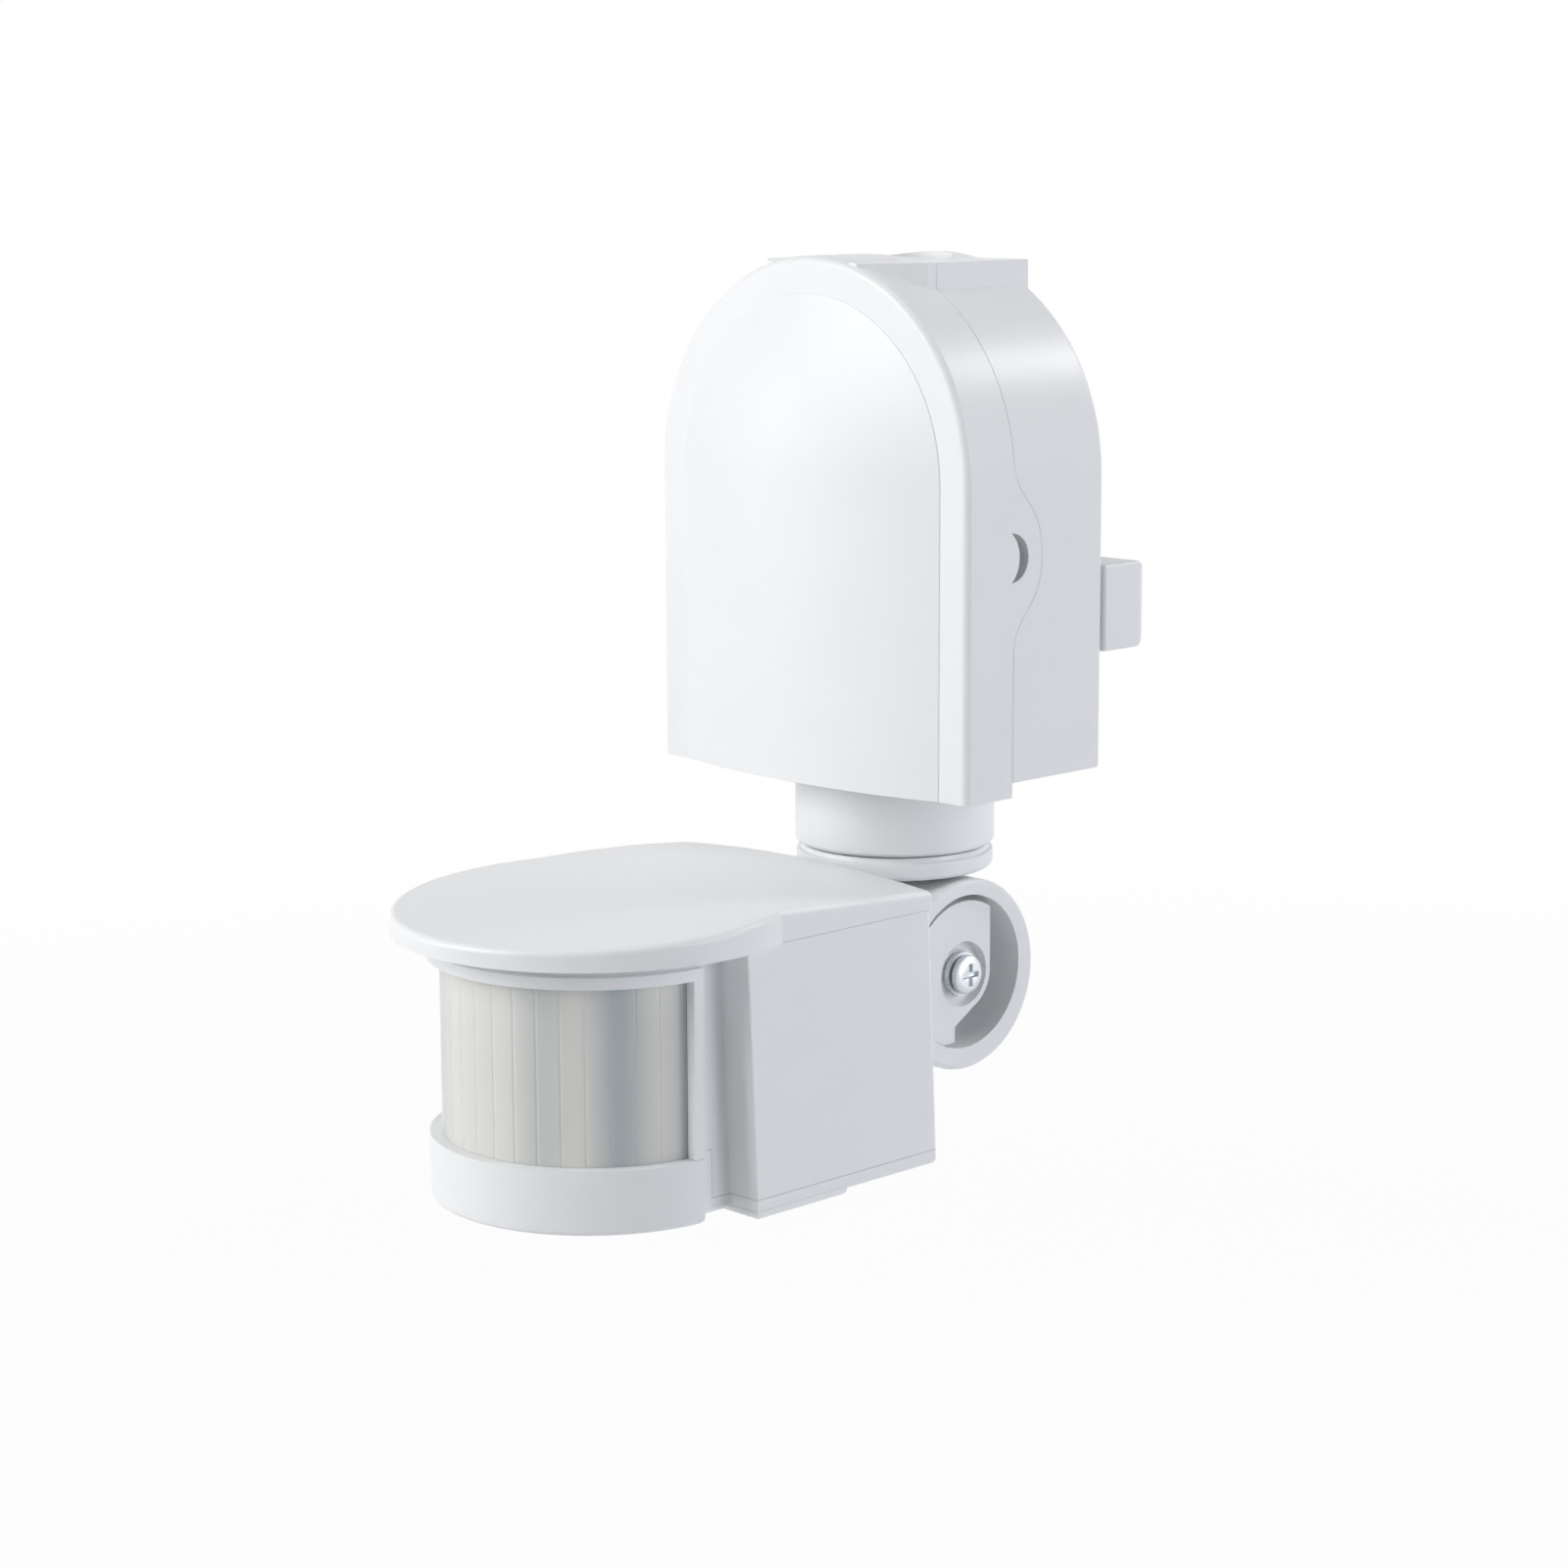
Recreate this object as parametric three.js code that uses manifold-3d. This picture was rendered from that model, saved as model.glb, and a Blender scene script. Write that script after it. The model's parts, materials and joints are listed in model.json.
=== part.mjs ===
// Outdoor wall-mounted passive infrared motion sensor, in millimetres, +Z up.
// The origin is the middle of the wall bracket's flat back face: X runs along the wall, -Y points
// away from it into the room. The housing carries a neck that pans about Z, and the neck carries
// the sensor head, which tilts about X on a clamped knuckle.
import * as THREE from "three";
import { mergeVertices } from "three/addons/utils/BufferGeometryUtils.js";
import Module from "manifold-3d";

const wasm = await Module();
wasm.setup();

// ---------------------------------------------------------------- driving sizes
const clearance = 0.3; // seating and running gap between neighbouring pieces
const wall = 2.2; // moulded wall thickness
const overlapIn = 0.5; // how far a rib, boss or web sinks into the wall that carries it

// wall bracket
const bracketLength = 64;
const bracketHeight = 13;
const bracketDepth = 10.4;
const bracketRound = 2.4;
const wallScrewSpacing = 42; // between the two slots that take the installer's wall screws
const wallScrewBore = 4.6;
const wallScrewHeadBore = 8.6;
const bracketScrewSpacing = 18; // between the two screws that hold the base to the bracket

// housing: arch-shaped base and front cover
const housingWidth = 64;
const archCentreZ = 19.7; // centre of the half-round top
const coverBottomZ = -25.8;
const coverDrop = 2.2; // the cover hangs this far below the base as a drip edge
const baseDepth = 19.2;
const coverDepth = 10.1;
const rimWidth = 5.4; // flat rim round the crowned panel
const crownStep = 1.2; // sharp step from the rim to the panel
const crownRise = 2.2; // soft rise from that step to the middle of the panel
const crownShoulder = 10; // width of the soft rise
const padHalfWidth = 16.5; // flat cable-entry pad on the crown of the base
const tabHalfHeight = 10.5; // rounded side tabs of the cover, which reach back over the base
const tabReach = 6;
const tabZ = 9.2;
const releaseRadius = 3.6; // crescent slot for a screwdriver
const releaseWidth = 3.2;

// cable entries, gasket and terminals
const grommetRadius = 6;
const grommetZ = 36;
const entryRadius = 5;
const entryFlange = 7; // flange of the top entry's plug, sunk flush into the pad
const entrySink = 1.4;
const entryDepth = 9.5; // from the base's back plane to the middle of the top entry
const gasketWidth = 1.5;
const gasketThickness = 1.8;
const terminalWidth = 27;
const terminalHeight = 12;
const terminalDepth = 11.5;
const terminalZ = 16;
const poleSpacing = 8.5;
const poleScrewRadius = 2;
const wireBoreRadius = 1.6;
const earScrewSpacing = 35;
const postRadius = 3; // posts under the ears of the terminal block
const postHeight = 4;

// neck
const neckSetback = 11.1; // from the base's back plane forward to the pan axis
const neckRadius = 15.25;
const neckBottomZ = -37.4; // lower edge of the sleeve
const sleeveWall = 2.6;
const neckRingHeight = 2.7; // ring of the yoke below the groove
const grooveHeight = 1.1;
const grooveDepth = 0.9;
const spigotRadius = 6.4;
const spigotTopZ = -13;
const wireWayRadius = 3.6;
const clipRadius = 8.3;
const clipThickness = 1.4;

// tilt knuckle
const knuckleRadius = 14.7;
const knuckleGap = 0.5; // from the underside of the yoke ring down to the knuckle
const knuckleHalfWidth = 15.6;
const earFaceGap = 0.9; // from the middle plane to each ear
const knuckleRim = 2.3;
const knucklePocket = 9.5;
const hubRadius = 3.7;
const hubSink = 2.2;
const pivotScrewRadius = 2;
const screwHeadRadius = 3.3;
const nutAcrossFlats = 7;
const nutThickness = 3.2;
const armHalfHeight = 8;

// sensor head
const headSetback = 4.4; // from the knuckle forward to the back of the head
const headLength = 37.1; // from the back of the head to the step beside the lens
const headHalfWidth = 26.6;
const headLean = 0.045; // the back and the steps lean forward by this much of their height
const headCorner = 1.2;
const headTop = 15; // top of the walls above the tilt axis
const headBottom = -23.4;
const floorThickness = 2.2;
const lensAhead = 5.3; // from the step to the axis of the lens
const stepWidth = 5.5; // the head narrows by this on each side between the steps and the lens posts
const bandTop = -14.1;
const windowTop = 11.4; // underside of the ring over the lens
const ringLipHeight = 1.7; // lower lip of that ring; above it the ring steps in under the visor
const ringStep = 0.9;
const ringWidth = 3.5;
const lensRadius = 22.1;
const bandProud = 1.8; // the band and the ring stand this far in front of the lens
const lensThickness = 0.9;
const windowHalfAngle = 83.3; // from straight ahead to the near edge of a lens post, in degrees
const postBackAngle = 87.3; // and to its back edge
const lensTuck = 0.6; // degrees of the lens held in the groove of each post
const visorOverhang = 5.1; // the round visor reaches this far beyond the band
const roofPeak = 20.7; // top of the domed roof above the tilt axis
const roofDomeRadius = 267;
const roofDomeAhead = 32.1; // from the back of the head to the highest point of the roof
const roofEdgeRound = 1;
const bossHalf = 3.1;
const bossInset = 4.6; // head screws from the outer faces of the head
const mouthOverlap = 2.5; // the band's side walls end this far in front of the steps
const wireHoleX = -7; // opening in the back of the head for the wires from the neck
const wireHoleRadius = 3;

// electronics and dials
const boardThickness = 1.6;
const boardZ = -13;
const boardGap = 0.9; // from the screw bosses to the board
const boardMargin = 7.9; // from the back of the head to the board
const sensorBoardHalfWidth = 12;
const sensorBoardHeight = 20;
const canRadius = 4.6;
const canDepth = 4.2;
const dialInset = 5; // from the edge of the board to the outer dials
const dialRadius = 4;
const dialBehind = 9.2; // from the step back to the row of dials
const dialSink = 0.4; // the dials stand this far inside the underside of their pad
const padLength = 17.8; // shallow pad under the floor, behind the steps, with the dials in it
const padDrop = 0.9;

// ---------------------------------------------------------------- derived places
const archRadius = housingWidth / 2;
const baseBottomZ = coverBottomZ + coverDrop;
const backY = -(bracketDepth + clearance);
const seamY = backY - baseDepth;
const coverBackY = seamY - clearance;
const rimY = coverBackY - coverDepth;
const neckY = backY - neckSetback;
const neckTopZ = coverBottomZ - clearance;
const yokeTopZ = neckBottomZ - grooveHeight;
const yokeBottomZ = yokeTopZ - neckRingHeight;
const pivotZ = yokeBottomZ - knuckleGap - knuckleRadius;
const headReach = knuckleRadius + headSetback;
const stepY = -(headReach + headLength);
const lensY = stepY - lensAhead;
const throatHalfWidth = headHalfWidth - stepWidth;
const bandRadius = lensRadius + bandProud;
const visorRadius = bandRadius + visorOverhang;
const boardHalfWidth = headHalfWidth - bossInset - bossHalf - boardGap;
const dialSpacing = boardHalfWidth - dialInset;

// ---------------------------------------------------------------- finishes
const finish = (color, roughness, metalness = 0) =>
  new THREE.MeshStandardMaterial({ color, roughness, metalness });
const whitePlastic = finish(0xf1f2f3, 0.42);
const whiteLens = finish(0xe4e5de, 0.35);
const blackRubber = finish(0x2a2b2d, 0.8);
const greyRubber = finish(0x8b8e92, 0.75);
const steel = finish(0xb9bcc0, 0.3, 1);
const brass = finish(0xc9a75a, 0.35, 1);
const terminalPlastic = finish(0xe9e6dc, 0.5);
const boardGreen = finish(0x2f6b45, 0.55);
const canMetal = finish(0xc8c9c6, 0.25, 1);
const filterGlass = finish(0x1d1a22, 0.15);
const relayBlue = finish(0x2c5fa8, 0.45);
const capacitorYellow = finish(0xd9b63c, 0.5);
const capacitorBlack = finish(0x22242a, 0.4);
const trimmerBlue = finish(0x3568b0, 0.5);
const dialGrey = finish(0xd7d9dc, 0.45);
const ledRed = finish(0xc8322d, 0.2);
const cellCream = finish(0xd9cfae, 0.5);

// ---------------------------------------------------------------- solid modelling helpers
function solidOf(geometry) {
  const bare = geometry.index ? geometry.toNonIndexed() : geometry.clone();
  bare.deleteAttribute("normal");
  bare.deleteAttribute("uv");
  const merged = mergeVertices(bare, 1e-4);
  return new wasm.Manifold(
    new wasm.Mesh({
      numProp: 3,
      vertProperties: merged.attributes.position.array,
      triVerts: new Uint32Array(merged.index.array),
    }),
  );
}

function geometryOf(solid) {
  const made = solid.getMesh();
  const indexed = new THREE.BufferGeometry();
  indexed.setAttribute("position", new THREE.BufferAttribute(made.vertProperties, 3));
  indexed.setIndex(new THREE.BufferAttribute(made.triVerts, 1));
  const flat = indexed.toNonIndexed();
  flat.computeVertexNormals();
  return flat;
}

// The same solid, put elsewhere by a matrix.
const placed = (solid, matrix) => solidOf(geometryOf(solid).applyMatrix4(matrix));
const shifted = (solid, x, y, z) => placed(solid, new THREE.Matrix4().makeTranslation(x, y, z));

const join = (first, ...rest) => rest.reduce((sum, next) => sum.add(next), first);
const cut = (first, ...rest) => rest.reduce((left, next) => left.subtract(next), first);

// A block between two corners.
function block([x0, x1], [y0, y1], [z0, z1]) {
  const shape = new THREE.BoxGeometry(x1 - x0, y1 - y0, z1 - z0);
  return solidOf(shape.translate((x0 + x1) / 2, (y0 + y1) / 2, (z0 + z1) / 2));
}

// A round bar from one value to another along an axis, centred on the other two coordinates.
function rod(axis, radius, from, to, [u, v], sides = 20) {
  const shape = new THREE.CylinderGeometry(radius, radius, to - from, sides);
  const middle = (from + to) / 2;
  if (axis === "x") return solidOf(shape.rotateZ(-Math.PI / 2).translate(middle, u, v));
  if (axis === "y") return solidOf(shape.translate(u, middle, v));
  return solidOf(shape.rotateX(Math.PI / 2).translate(u, v, middle));
}

// A turned piece about Z from its half section, listed counter-clockwise as [radius, height].
function turned(section, sides = 32) {
  const points = section.map(([r, z]) => new THREE.Vector2(r, z));
  return solidOf(new THREE.LatheGeometry(points, sides).rotateX(Math.PI / 2));
}

// A plate in the XZ plane, from its back face at y forward by its depth.
function frontPlate(shape, y, depth, options = {}) {
  const flat = { depth, bevelEnabled: false, curveSegments: 16, ...options };
  return solidOf(new THREE.ExtrudeGeometry(shape, flat).rotateX(Math.PI / 2).translate(0, y, 0));
}

// A plate in the YZ plane, from its face at x outwards by its depth.
const sideways = new THREE.Matrix4().makeBasis(
  new THREE.Vector3(0, 1, 0),
  new THREE.Vector3(0, 0, 1),
  new THREE.Vector3(1, 0, 0),
);
function sidePlate(shape, x, depth, options = {}) {
  const flat = { depth, bevelEnabled: false, curveSegments: 10, ...options };
  return solidOf(new THREE.ExtrudeGeometry(shape, flat).applyMatrix4(sideways).translate(x, 0, 0));
}

// A plate in the XY plane, from its underside at z up by its height.
function floorPlate(shape, z, height, options = {}) {
  const flat = { depth: height, bevelEnabled: false, curveSegments: 16, ...options };
  return solidOf(new THREE.ExtrudeGeometry(shape, flat).translate(0, 0, z));
}

// The arch outline, drawn in by an inset on its sides and top, with its foot at a height of its own.
function archShape(inset, footZ) {
  const half = archRadius - inset;
  const shape = new THREE.Shape();
  shape.moveTo(-half, footZ);
  shape.lineTo(half, footZ);
  shape.lineTo(half, archCentreZ);
  shape.absarc(0, archCentreZ, half, 0, Math.PI, false);
  shape.lineTo(-half, footZ);
  return shape;
}

function roundedShape(halfWidth, halfHeight, radius) {
  const shape = new THREE.Shape();
  shape.moveTo(-halfWidth + radius, -halfHeight);
  shape.lineTo(halfWidth - radius, -halfHeight);
  shape.absarc(halfWidth - radius, -halfHeight + radius, radius, -Math.PI / 2, 0, false);
  shape.lineTo(halfWidth, halfHeight - radius);
  shape.absarc(halfWidth - radius, halfHeight - radius, radius, 0, Math.PI / 2, false);
  shape.lineTo(-halfWidth + radius, halfHeight);
  shape.absarc(-halfWidth + radius, halfHeight - radius, radius, Math.PI / 2, Math.PI, false);
  shape.lineTo(-halfWidth, -halfHeight + radius);
  shape.absarc(-halfWidth + radius, -halfHeight + radius, radius, Math.PI, 1.5 * Math.PI, false);
  return shape;
}

// A screw along an axis: head, shank, and a cross or single slot in the head. It points along the
// axis in the direction of its sign, with the underside of its head at the seat.
function screw(axis, sign, seat, centre, { radius, length, headRadius, headHeight, cross }) {
  const span = (a, b) => [Math.min(a, b), Math.max(a, b)];
  const top = seat - sign * headHeight;
  const head = rod(axis, headRadius, ...span(seat, top), centre, 14);
  const shank = rod(axis, radius, ...span(seat - sign * 0.2, seat + sign * length), centre, 8);
  const slotDepth = headHeight * 0.5;
  const long = headRadius * (cross ? 0.62 : 1.2);
  const [u, v] = centre;
  const slotOf = (a, b) => {
    const along = span(top + sign * slotDepth, top - sign);
    const first = [u - a, u + a];
    const second = [v - b, v + b];
    if (axis === "x") return block(along, first, second);
    if (axis === "y") return block(first, along, second);
    return block(first, second, along);
  };
  const thin = headRadius * 0.17;
  const slotted = cut(join(head, shank), slotOf(long, thin));
  return cross ? cut(slotted, slotOf(thin, long)) : slotted;
}

// ---------------------------------------------------------------- scene graph
const sensor = new THREE.Group();
const housing = new THREE.Group();
const neck = new THREE.Group();
const head = new THREE.Group();
neck.position.set(0, neckY, 0);
head.position.set(0, neckY, pivotZ);
sensor.add(housing, neck, head);

function place(group, name, solid, material) {
  const mesh = new THREE.Mesh(geometryOf(solid), material);
  mesh.name = name;
  group.add(mesh);
}

// ---------------------------------------------------------------- wall bracket
const bracketScrew = { radius: 1.5, length: 8.5, headRadius: 3, headHeight: 2, cross: true };
const bracketSkin = 1.6; // the blind screw holes leave this much of the bar's back face
const coarse = { curveSegments: 4 };

// A slot for a wall screw, a little longer than it is high.
const slotShape = (bore) => roundedShape(bore / 2 + 1.5, bore / 2, bore / 2 - 0.01);

// The bar that stands the housing off the wall. Its ends are rounded, and it is bored for the
// installer's two wall screws and for the two screws that hold the base.
function wallBracket() {
  const half = bracketLength / 2;
  const bevel = 0.8;
  const section = new THREE.Shape();
  const z = bracketHeight / 2 - bevel;
  const y = bracketDepth - bevel;
  section.moveTo(-y, -z);
  section.lineTo(-bevel - bracketRound, -z);
  section.absarc(-bevel - bracketRound, -z + bracketRound, bracketRound, -Math.PI / 2, 0, false);
  section.lineTo(-bevel, z - bracketRound);
  section.absarc(-bevel - bracketRound, z - bracketRound, bracketRound, 0, Math.PI / 2, false);
  section.lineTo(-y, z);
  const edge = { bevelEnabled: true, bevelThickness: bevel, bevelSize: bevel, bevelSegments: 1 };
  let bar = sidePlate(section, -half + bevel, bracketLength - 2 * bevel, { ...edge, curveSegments: 4 });
  for (const side of [-1, 1]) {
    const slotX = (side * wallScrewSpacing) / 2;
    const screwCentre = [(side * bracketScrewSpacing) / 2, 0];
    bar = cut(
      bar,
      shifted(frontPlate(slotShape(wallScrewBore), 1, bracketDepth + 2, coarse), slotX, 0, 0),
      shifted(frontPlate(slotShape(wallScrewHeadBore), -bracketDepth / 2, bracketDepth, coarse), slotX, 0, 0),
      rod("y", bracketScrew.radius + clearance, -bracketDepth - 1, -bracketSkin, screwCentre, 10),
    );
  }
  return bar;
}

// ---------------------------------------------------------------- rear base
const earScrew = { radius: 1, length: 6, headRadius: 2.3, headHeight: 1.5, cross: true };

// The outline of a side tab of the cover: a low rounded bulge behind the seam, drawn out by a margin.
function tabShape(margin) {
  const reach = tabReach + margin;
  const half = tabHalfHeight + margin;
  const shape = new THREE.Shape();
  const tip = seamY + reach;
  const flank = seamY + reach * 0.5;
  shape.moveTo(seamY - 2, tabZ - half);
  shape.lineTo(seamY + 0.01, tabZ - half);
  shape.bezierCurveTo(flank, tabZ - half * 0.8, tip, tabZ - half * 0.6, tip, tabZ);
  shape.bezierCurveTo(tip, tabZ + half * 0.6, flank, tabZ + half * 0.8, seamY + 0.01, tabZ + half);
  shape.lineTo(seamY - 2, tabZ + half);
  return shape;
}

// The open tray against the wall: terminals inside, cable entries through its back and crown, and a
// collar in its floor that the neck turns in.
function rearBase() {
  const crownZ = archCentreZ + archRadius;
  const innerFloorZ = baseBottomZ + wall;
  let tray = join(
    frontPlate(archShape(0, baseBottomZ), backY, baseDepth),
    block([-padHalfWidth, padHalfWidth], [seamY, backY], [crownZ - 8, crownZ]),
  );
  tray = cut(tray, frontPlate(archShape(wall, innerFloorZ), backY - wall, baseDepth));
  const collar = rod("z", spigotRadius + wall, coverBottomZ, innerFloorZ + 1.4, [0, neckY], 24);
  const inside = backY - wall;
  const postCentre = (side) => [(side * earScrewSpacing) / 2, terminalZ];
  const posts = [-1, 1].map((side) =>
    rod("y", postRadius, inside - postHeight, inside + overlapIn, postCentre(side), 10),
  );
  const fingers = [-1, 1].map((side) => snapFinger(side));
  tray = join(tray, collar, ...posts, ...fingers);
  for (const side of [-1, 1]) {
    const outer = side < 0 ? -archRadius - 1 : archRadius - wall - 0.01;
    const screwCentre = [(side * bracketScrewSpacing) / 2, 0];
    tray = cut(
      tray,
      sidePlate(tabShape(clearance), outer, wall + 1.01),
      rod("y", bracketScrew.radius + clearance, inside - 1, backY + 1, screwCentre, 10),
      rod("y", earScrew.radius + clearance, inside - postHeight - 1, inside, postCentre(side), 8),
    );
  }
  return cut(
    tray,
    rod("z", spigotRadius + clearance, coverBottomZ - 1, innerFloorZ + 3, [0, neckY], 24),
    rod("y", grommetRadius + clearance, inside - 1, backY + 1, [0, grommetZ], 20),
    rod("z", entryRadius + clearance, crownZ - 12, crownZ + 1, [0, backY - entryDepth], 20),
    rod("z", entryFlange + clearance, crownZ - entrySink, crownZ + 1, [0, backY - entryDepth], 20),
  );
}

// A springy finger on the back wall, whose hooked end stands behind the release slot of a tab.
function snapFinger(side) {
  const outer = archRadius - wall - 2 * clearance - 0.6;
  const [x0, x1] = side < 0 ? [-outer, -outer + 1.8] : [outer - 1.8, outer];
  const stem = block([x0, x1], [seamY + 2.5, backY - wall + overlapIn], [tabZ - 4, tabZ + 4]);
  const hookX = side < 0 ? [x0 - 0.6, x0 + 0.5] : [x1 - 0.5, x1 + 0.6];
  return join(stem, block(hookX, [seamY + 2.5, seamY + 5], [tabZ - 3.5, tabZ + 3.5]));
}

// ---------------------------------------------------------------- front cover
// The crowned panel: an arch that rises softly from its edge, cut off level at the foot.
function crownedPanel(inset, y, rise) {
  const soft = {
    bevelEnabled: true,
    bevelThickness: rise,
    bevelSize: crownShoulder,
    bevelOffset: -crownShoulder,
    bevelSegments: 3,
    curveSegments: 14,
  };
  const below = coverBottomZ - crownShoulder - 4;
  const raised = frontPlate(archShape(inset, below), y, crownStep, soft);
  const footless = block([-housingWidth, housingWidth], [y - 20, y + 20], [below - 20, coverBottomZ]);
  const top = archCentreZ + housingWidth;
  const backless = block([-housingWidth, housingWidth], [y, y + 20], [below - 20, top]);
  return cut(raised, footless, backless);
}

// The snap-on cover: flat rim, crowned panel, two side tabs and a notch in its floor for the neck.
function frontCover() {
  const outer = join(
    frontPlate(archShape(0, coverBottomZ), coverBackY, coverDepth),
    crownedPanel(rimWidth, rimY + overlapIn, crownRise + overlapIn),
  );
  const hollow = archShape(wall, coverBottomZ + wall);
  let cover = cut(outer, frontPlate(hollow, coverBackY + 1, coverDepth + 1 - wall));
  for (const side of [-1, 1]) {
    const x = side < 0 ? -archRadius : archRadius - wall;
    cover = join(cover, sidePlate(tabShape(-clearance), x, wall));
  }
  for (const side of [-1, 1]) {
    const x = side < 0 ? -archRadius - 1 : archRadius - wall - 1;
    cover = cut(cover, sidePlate(crescentShape(), x, wall + 2));
  }
  const notchRadius = neckRadius + 2 * clearance;
  return cut(cover, rod("z", notchRadius, coverBottomZ - 1, coverBottomZ + wall + 1, [0, neckY], 32));
}

// The crescent of the release slot, open towards the back.
function crescentShape() {
  const middle = seamY - 0.3;
  const shape = new THREE.Shape();
  shape.moveTo(middle, tabZ - releaseRadius);
  shape.absarc(middle, tabZ, releaseRadius, -Math.PI / 2, Math.PI / 2, false);
  shape.quadraticCurveTo(middle + 2 * (releaseRadius - releaseWidth), tabZ, middle, tabZ - releaseRadius);
  return shape;
}

// Rubber seal that follows the sides and the arch inside the seam, and leaves the foot open to drain.
function coverGasket() {
  const gap = wall + clearance;
  const foot = baseBottomZ + gap;
  const y = seamY + gasketThickness / 2;
  const ring = frontPlate(archShape(gap, foot), y, gasketThickness);
  const inner = frontPlate(archShape(gap + gasketWidth, foot - 1), y + 1, gasketThickness + 2);
  return cut(ring, inner);
}

// ---------------------------------------------------------------- cable entries and terminals
// Rubber grommet in the back wall, with a thin membrane that the mains cable is pushed through.
function rearGrommet() {
  const flange = grommetRadius + 2;
  const flangeHeight = 1.2;
  const bevel = 0.6;
  const hole = grommetRadius - 1.6;
  const membrane = 0.4;
  const inside = -wall - clearance;
  const profile = [
    [0, -membrane], [hole, -membrane], [hole, inside - flangeHeight], [flange - bevel, inside - flangeHeight],
    [flange, inside], [grommetRadius, inside], [grommetRadius, clearance], [flange, clearance],
    [flange - bevel, clearance + flangeHeight], [hole, clearance + flangeHeight],
    [hole - 0.8, membrane], [0, membrane],
  ];
  const toBack = new THREE.Matrix4().makeRotationX(-Math.PI / 2).setPosition(0, backY, grommetZ);
  return placed(turned(profile, 20), toBack);
}

// Blanking plug that closes the top entry, flush with the pad.
function topEntryPlug() {
  const foot = 7;
  const bore = entryRadius - 1.4;
  const seat = -entrySink + clearance;
  const profile = [
    [0, -foot + 3], [bore, -foot + 3], [bore, -foot], [entryRadius - 0.4, -foot],
    [entryRadius, -foot + 1], [entryRadius, seat], [entryFlange, seat], [entryFlange, -0.4],
    [entryFlange - 0.6, 0], [0, 0],
  ];
  return shifted(turned(profile, 20), 0, backY - entryDepth, archCentreZ + archRadius);
}

const blockBackY = backY - wall - clearance;
const terminalFrontY = blockBackY - terminalDepth;
const earHalf = 3.4; // half height of the block's ears, and their reach past the screws
const earBackY = backY - wall - postHeight - clearance;
const earFrontY = earBackY - 2.8;
const poles = [-poleSpacing, 0, poleSpacing];
const poleScrew = { radius: 1.3, length: 4.5, headRadius: poleScrewRadius, headHeight: 1.6, cross: false };

// Three-pole terminal block, bored from below and above for wires and from the front for screws.
function terminalBlock() {
  const [z0, z1] = [terminalZ - terminalHeight / 2, terminalZ + terminalHeight / 2];
  const half = terminalWidth / 2;
  const earEnd = earScrewSpacing / 2 + earHalf;
  let body = join(
    block([-half, half], [terminalFrontY, blockBackY], [z0, z1]),
    block([-earEnd, earEnd], [earFrontY, earBackY], [terminalZ - earHalf, terminalZ + earHalf]),
  );
  for (const x of poles) {
    body = cut(
      body,
      rod("z", wireBoreRadius, z0 - 1, z0 + 4.5, [x, blockBackY - 5], 8),
      rod("z", wireBoreRadius, z1 - 4.5, z1 + 1, [x, blockBackY - 5], 8),
      rod("y", poleScrewRadius + clearance, terminalFrontY - 1, terminalFrontY + 2.2, [x, terminalZ], 14),
      rod("y", poleScrew.radius + clearance, terminalFrontY + 1, terminalFrontY + 7, [x, terminalZ], 8),
    );
  }
  for (const side of [-1, 1]) {
    const x = (side * earScrewSpacing) / 2;
    body = cut(body, rod("y", earScrew.radius + clearance, blockBackY - 8, blockBackY, [x, terminalZ], 8));
  }
  return body;
}

// ---------------------------------------------------------------- neck
const clipZ = baseBottomZ + wall + 1.4 + clearance;

// Turned sleeve below the housing, with the hollow spigot that turns in the base's collar.
function neckSleeve() {
  const clipTop = clipZ + clipThickness + 2 * clearance;
  const skirt = neckRadius - sleeveWall;
  const roofZ = neckTopZ - 3;
  const edge = 0.5;
  const profile = [
    [wireWayRadius, roofZ], [skirt, roofZ], [skirt, neckBottomZ], [neckRadius - edge, neckBottomZ],
    [neckRadius, neckBottomZ + edge], [neckRadius, neckTopZ - edge], [neckRadius - edge, neckTopZ],
    [spigotRadius, neckTopZ], [spigotRadius, clipZ - clearance], [spigotRadius - 1.2, clipZ - clearance],
    [spigotRadius - 1.2, clipTop], [spigotRadius, clipTop], [spigotRadius, spigotTopZ - 0.8],
    [spigotRadius - 0.8, spigotTopZ], [wireWayRadius, spigotTopZ], [wireWayRadius, roofZ],
  ];
  return turned(profile, 28);
}

// Split clip in the spigot's groove, which keeps the neck in the base.
function neckClip() {
  const inner = spigotRadius - 1.2 + clearance;
  const ring = turned([
    [inner, clipZ], [clipRadius, clipZ], [clipRadius, clipZ + clipThickness],
    [inner, clipZ + clipThickness], [inner, clipZ],
  ], 24);
  return cut(ring, block([-2.6, 2.6], [0, clipRadius + 1], [clipZ - 1, clipZ + clipThickness + 1]));
}

// Soft ring that seals the neck against the underside of the cover and base.
function neckSeal() {
  const inner = spigotRadius + wall + clearance;
  const top = baseBottomZ - clearance;
  const bottom = neckTopZ + clearance;
  const profile = [
    [inner, bottom], [inner + 2, bottom], [inner + 2.5, (top + bottom) / 2], [inner + 2, top],
    [inner, top], [inner, bottom],
  ];
  return turned(profile, 24);
}

// ---------------------------------------------------------------- tilt knuckle
const earX0 = earFaceGap;
const earX1 = knuckleHalfWidth;
const pocketX = earX1 - knucklePocket;
const hubX = earX1 - hubSink;

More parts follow.
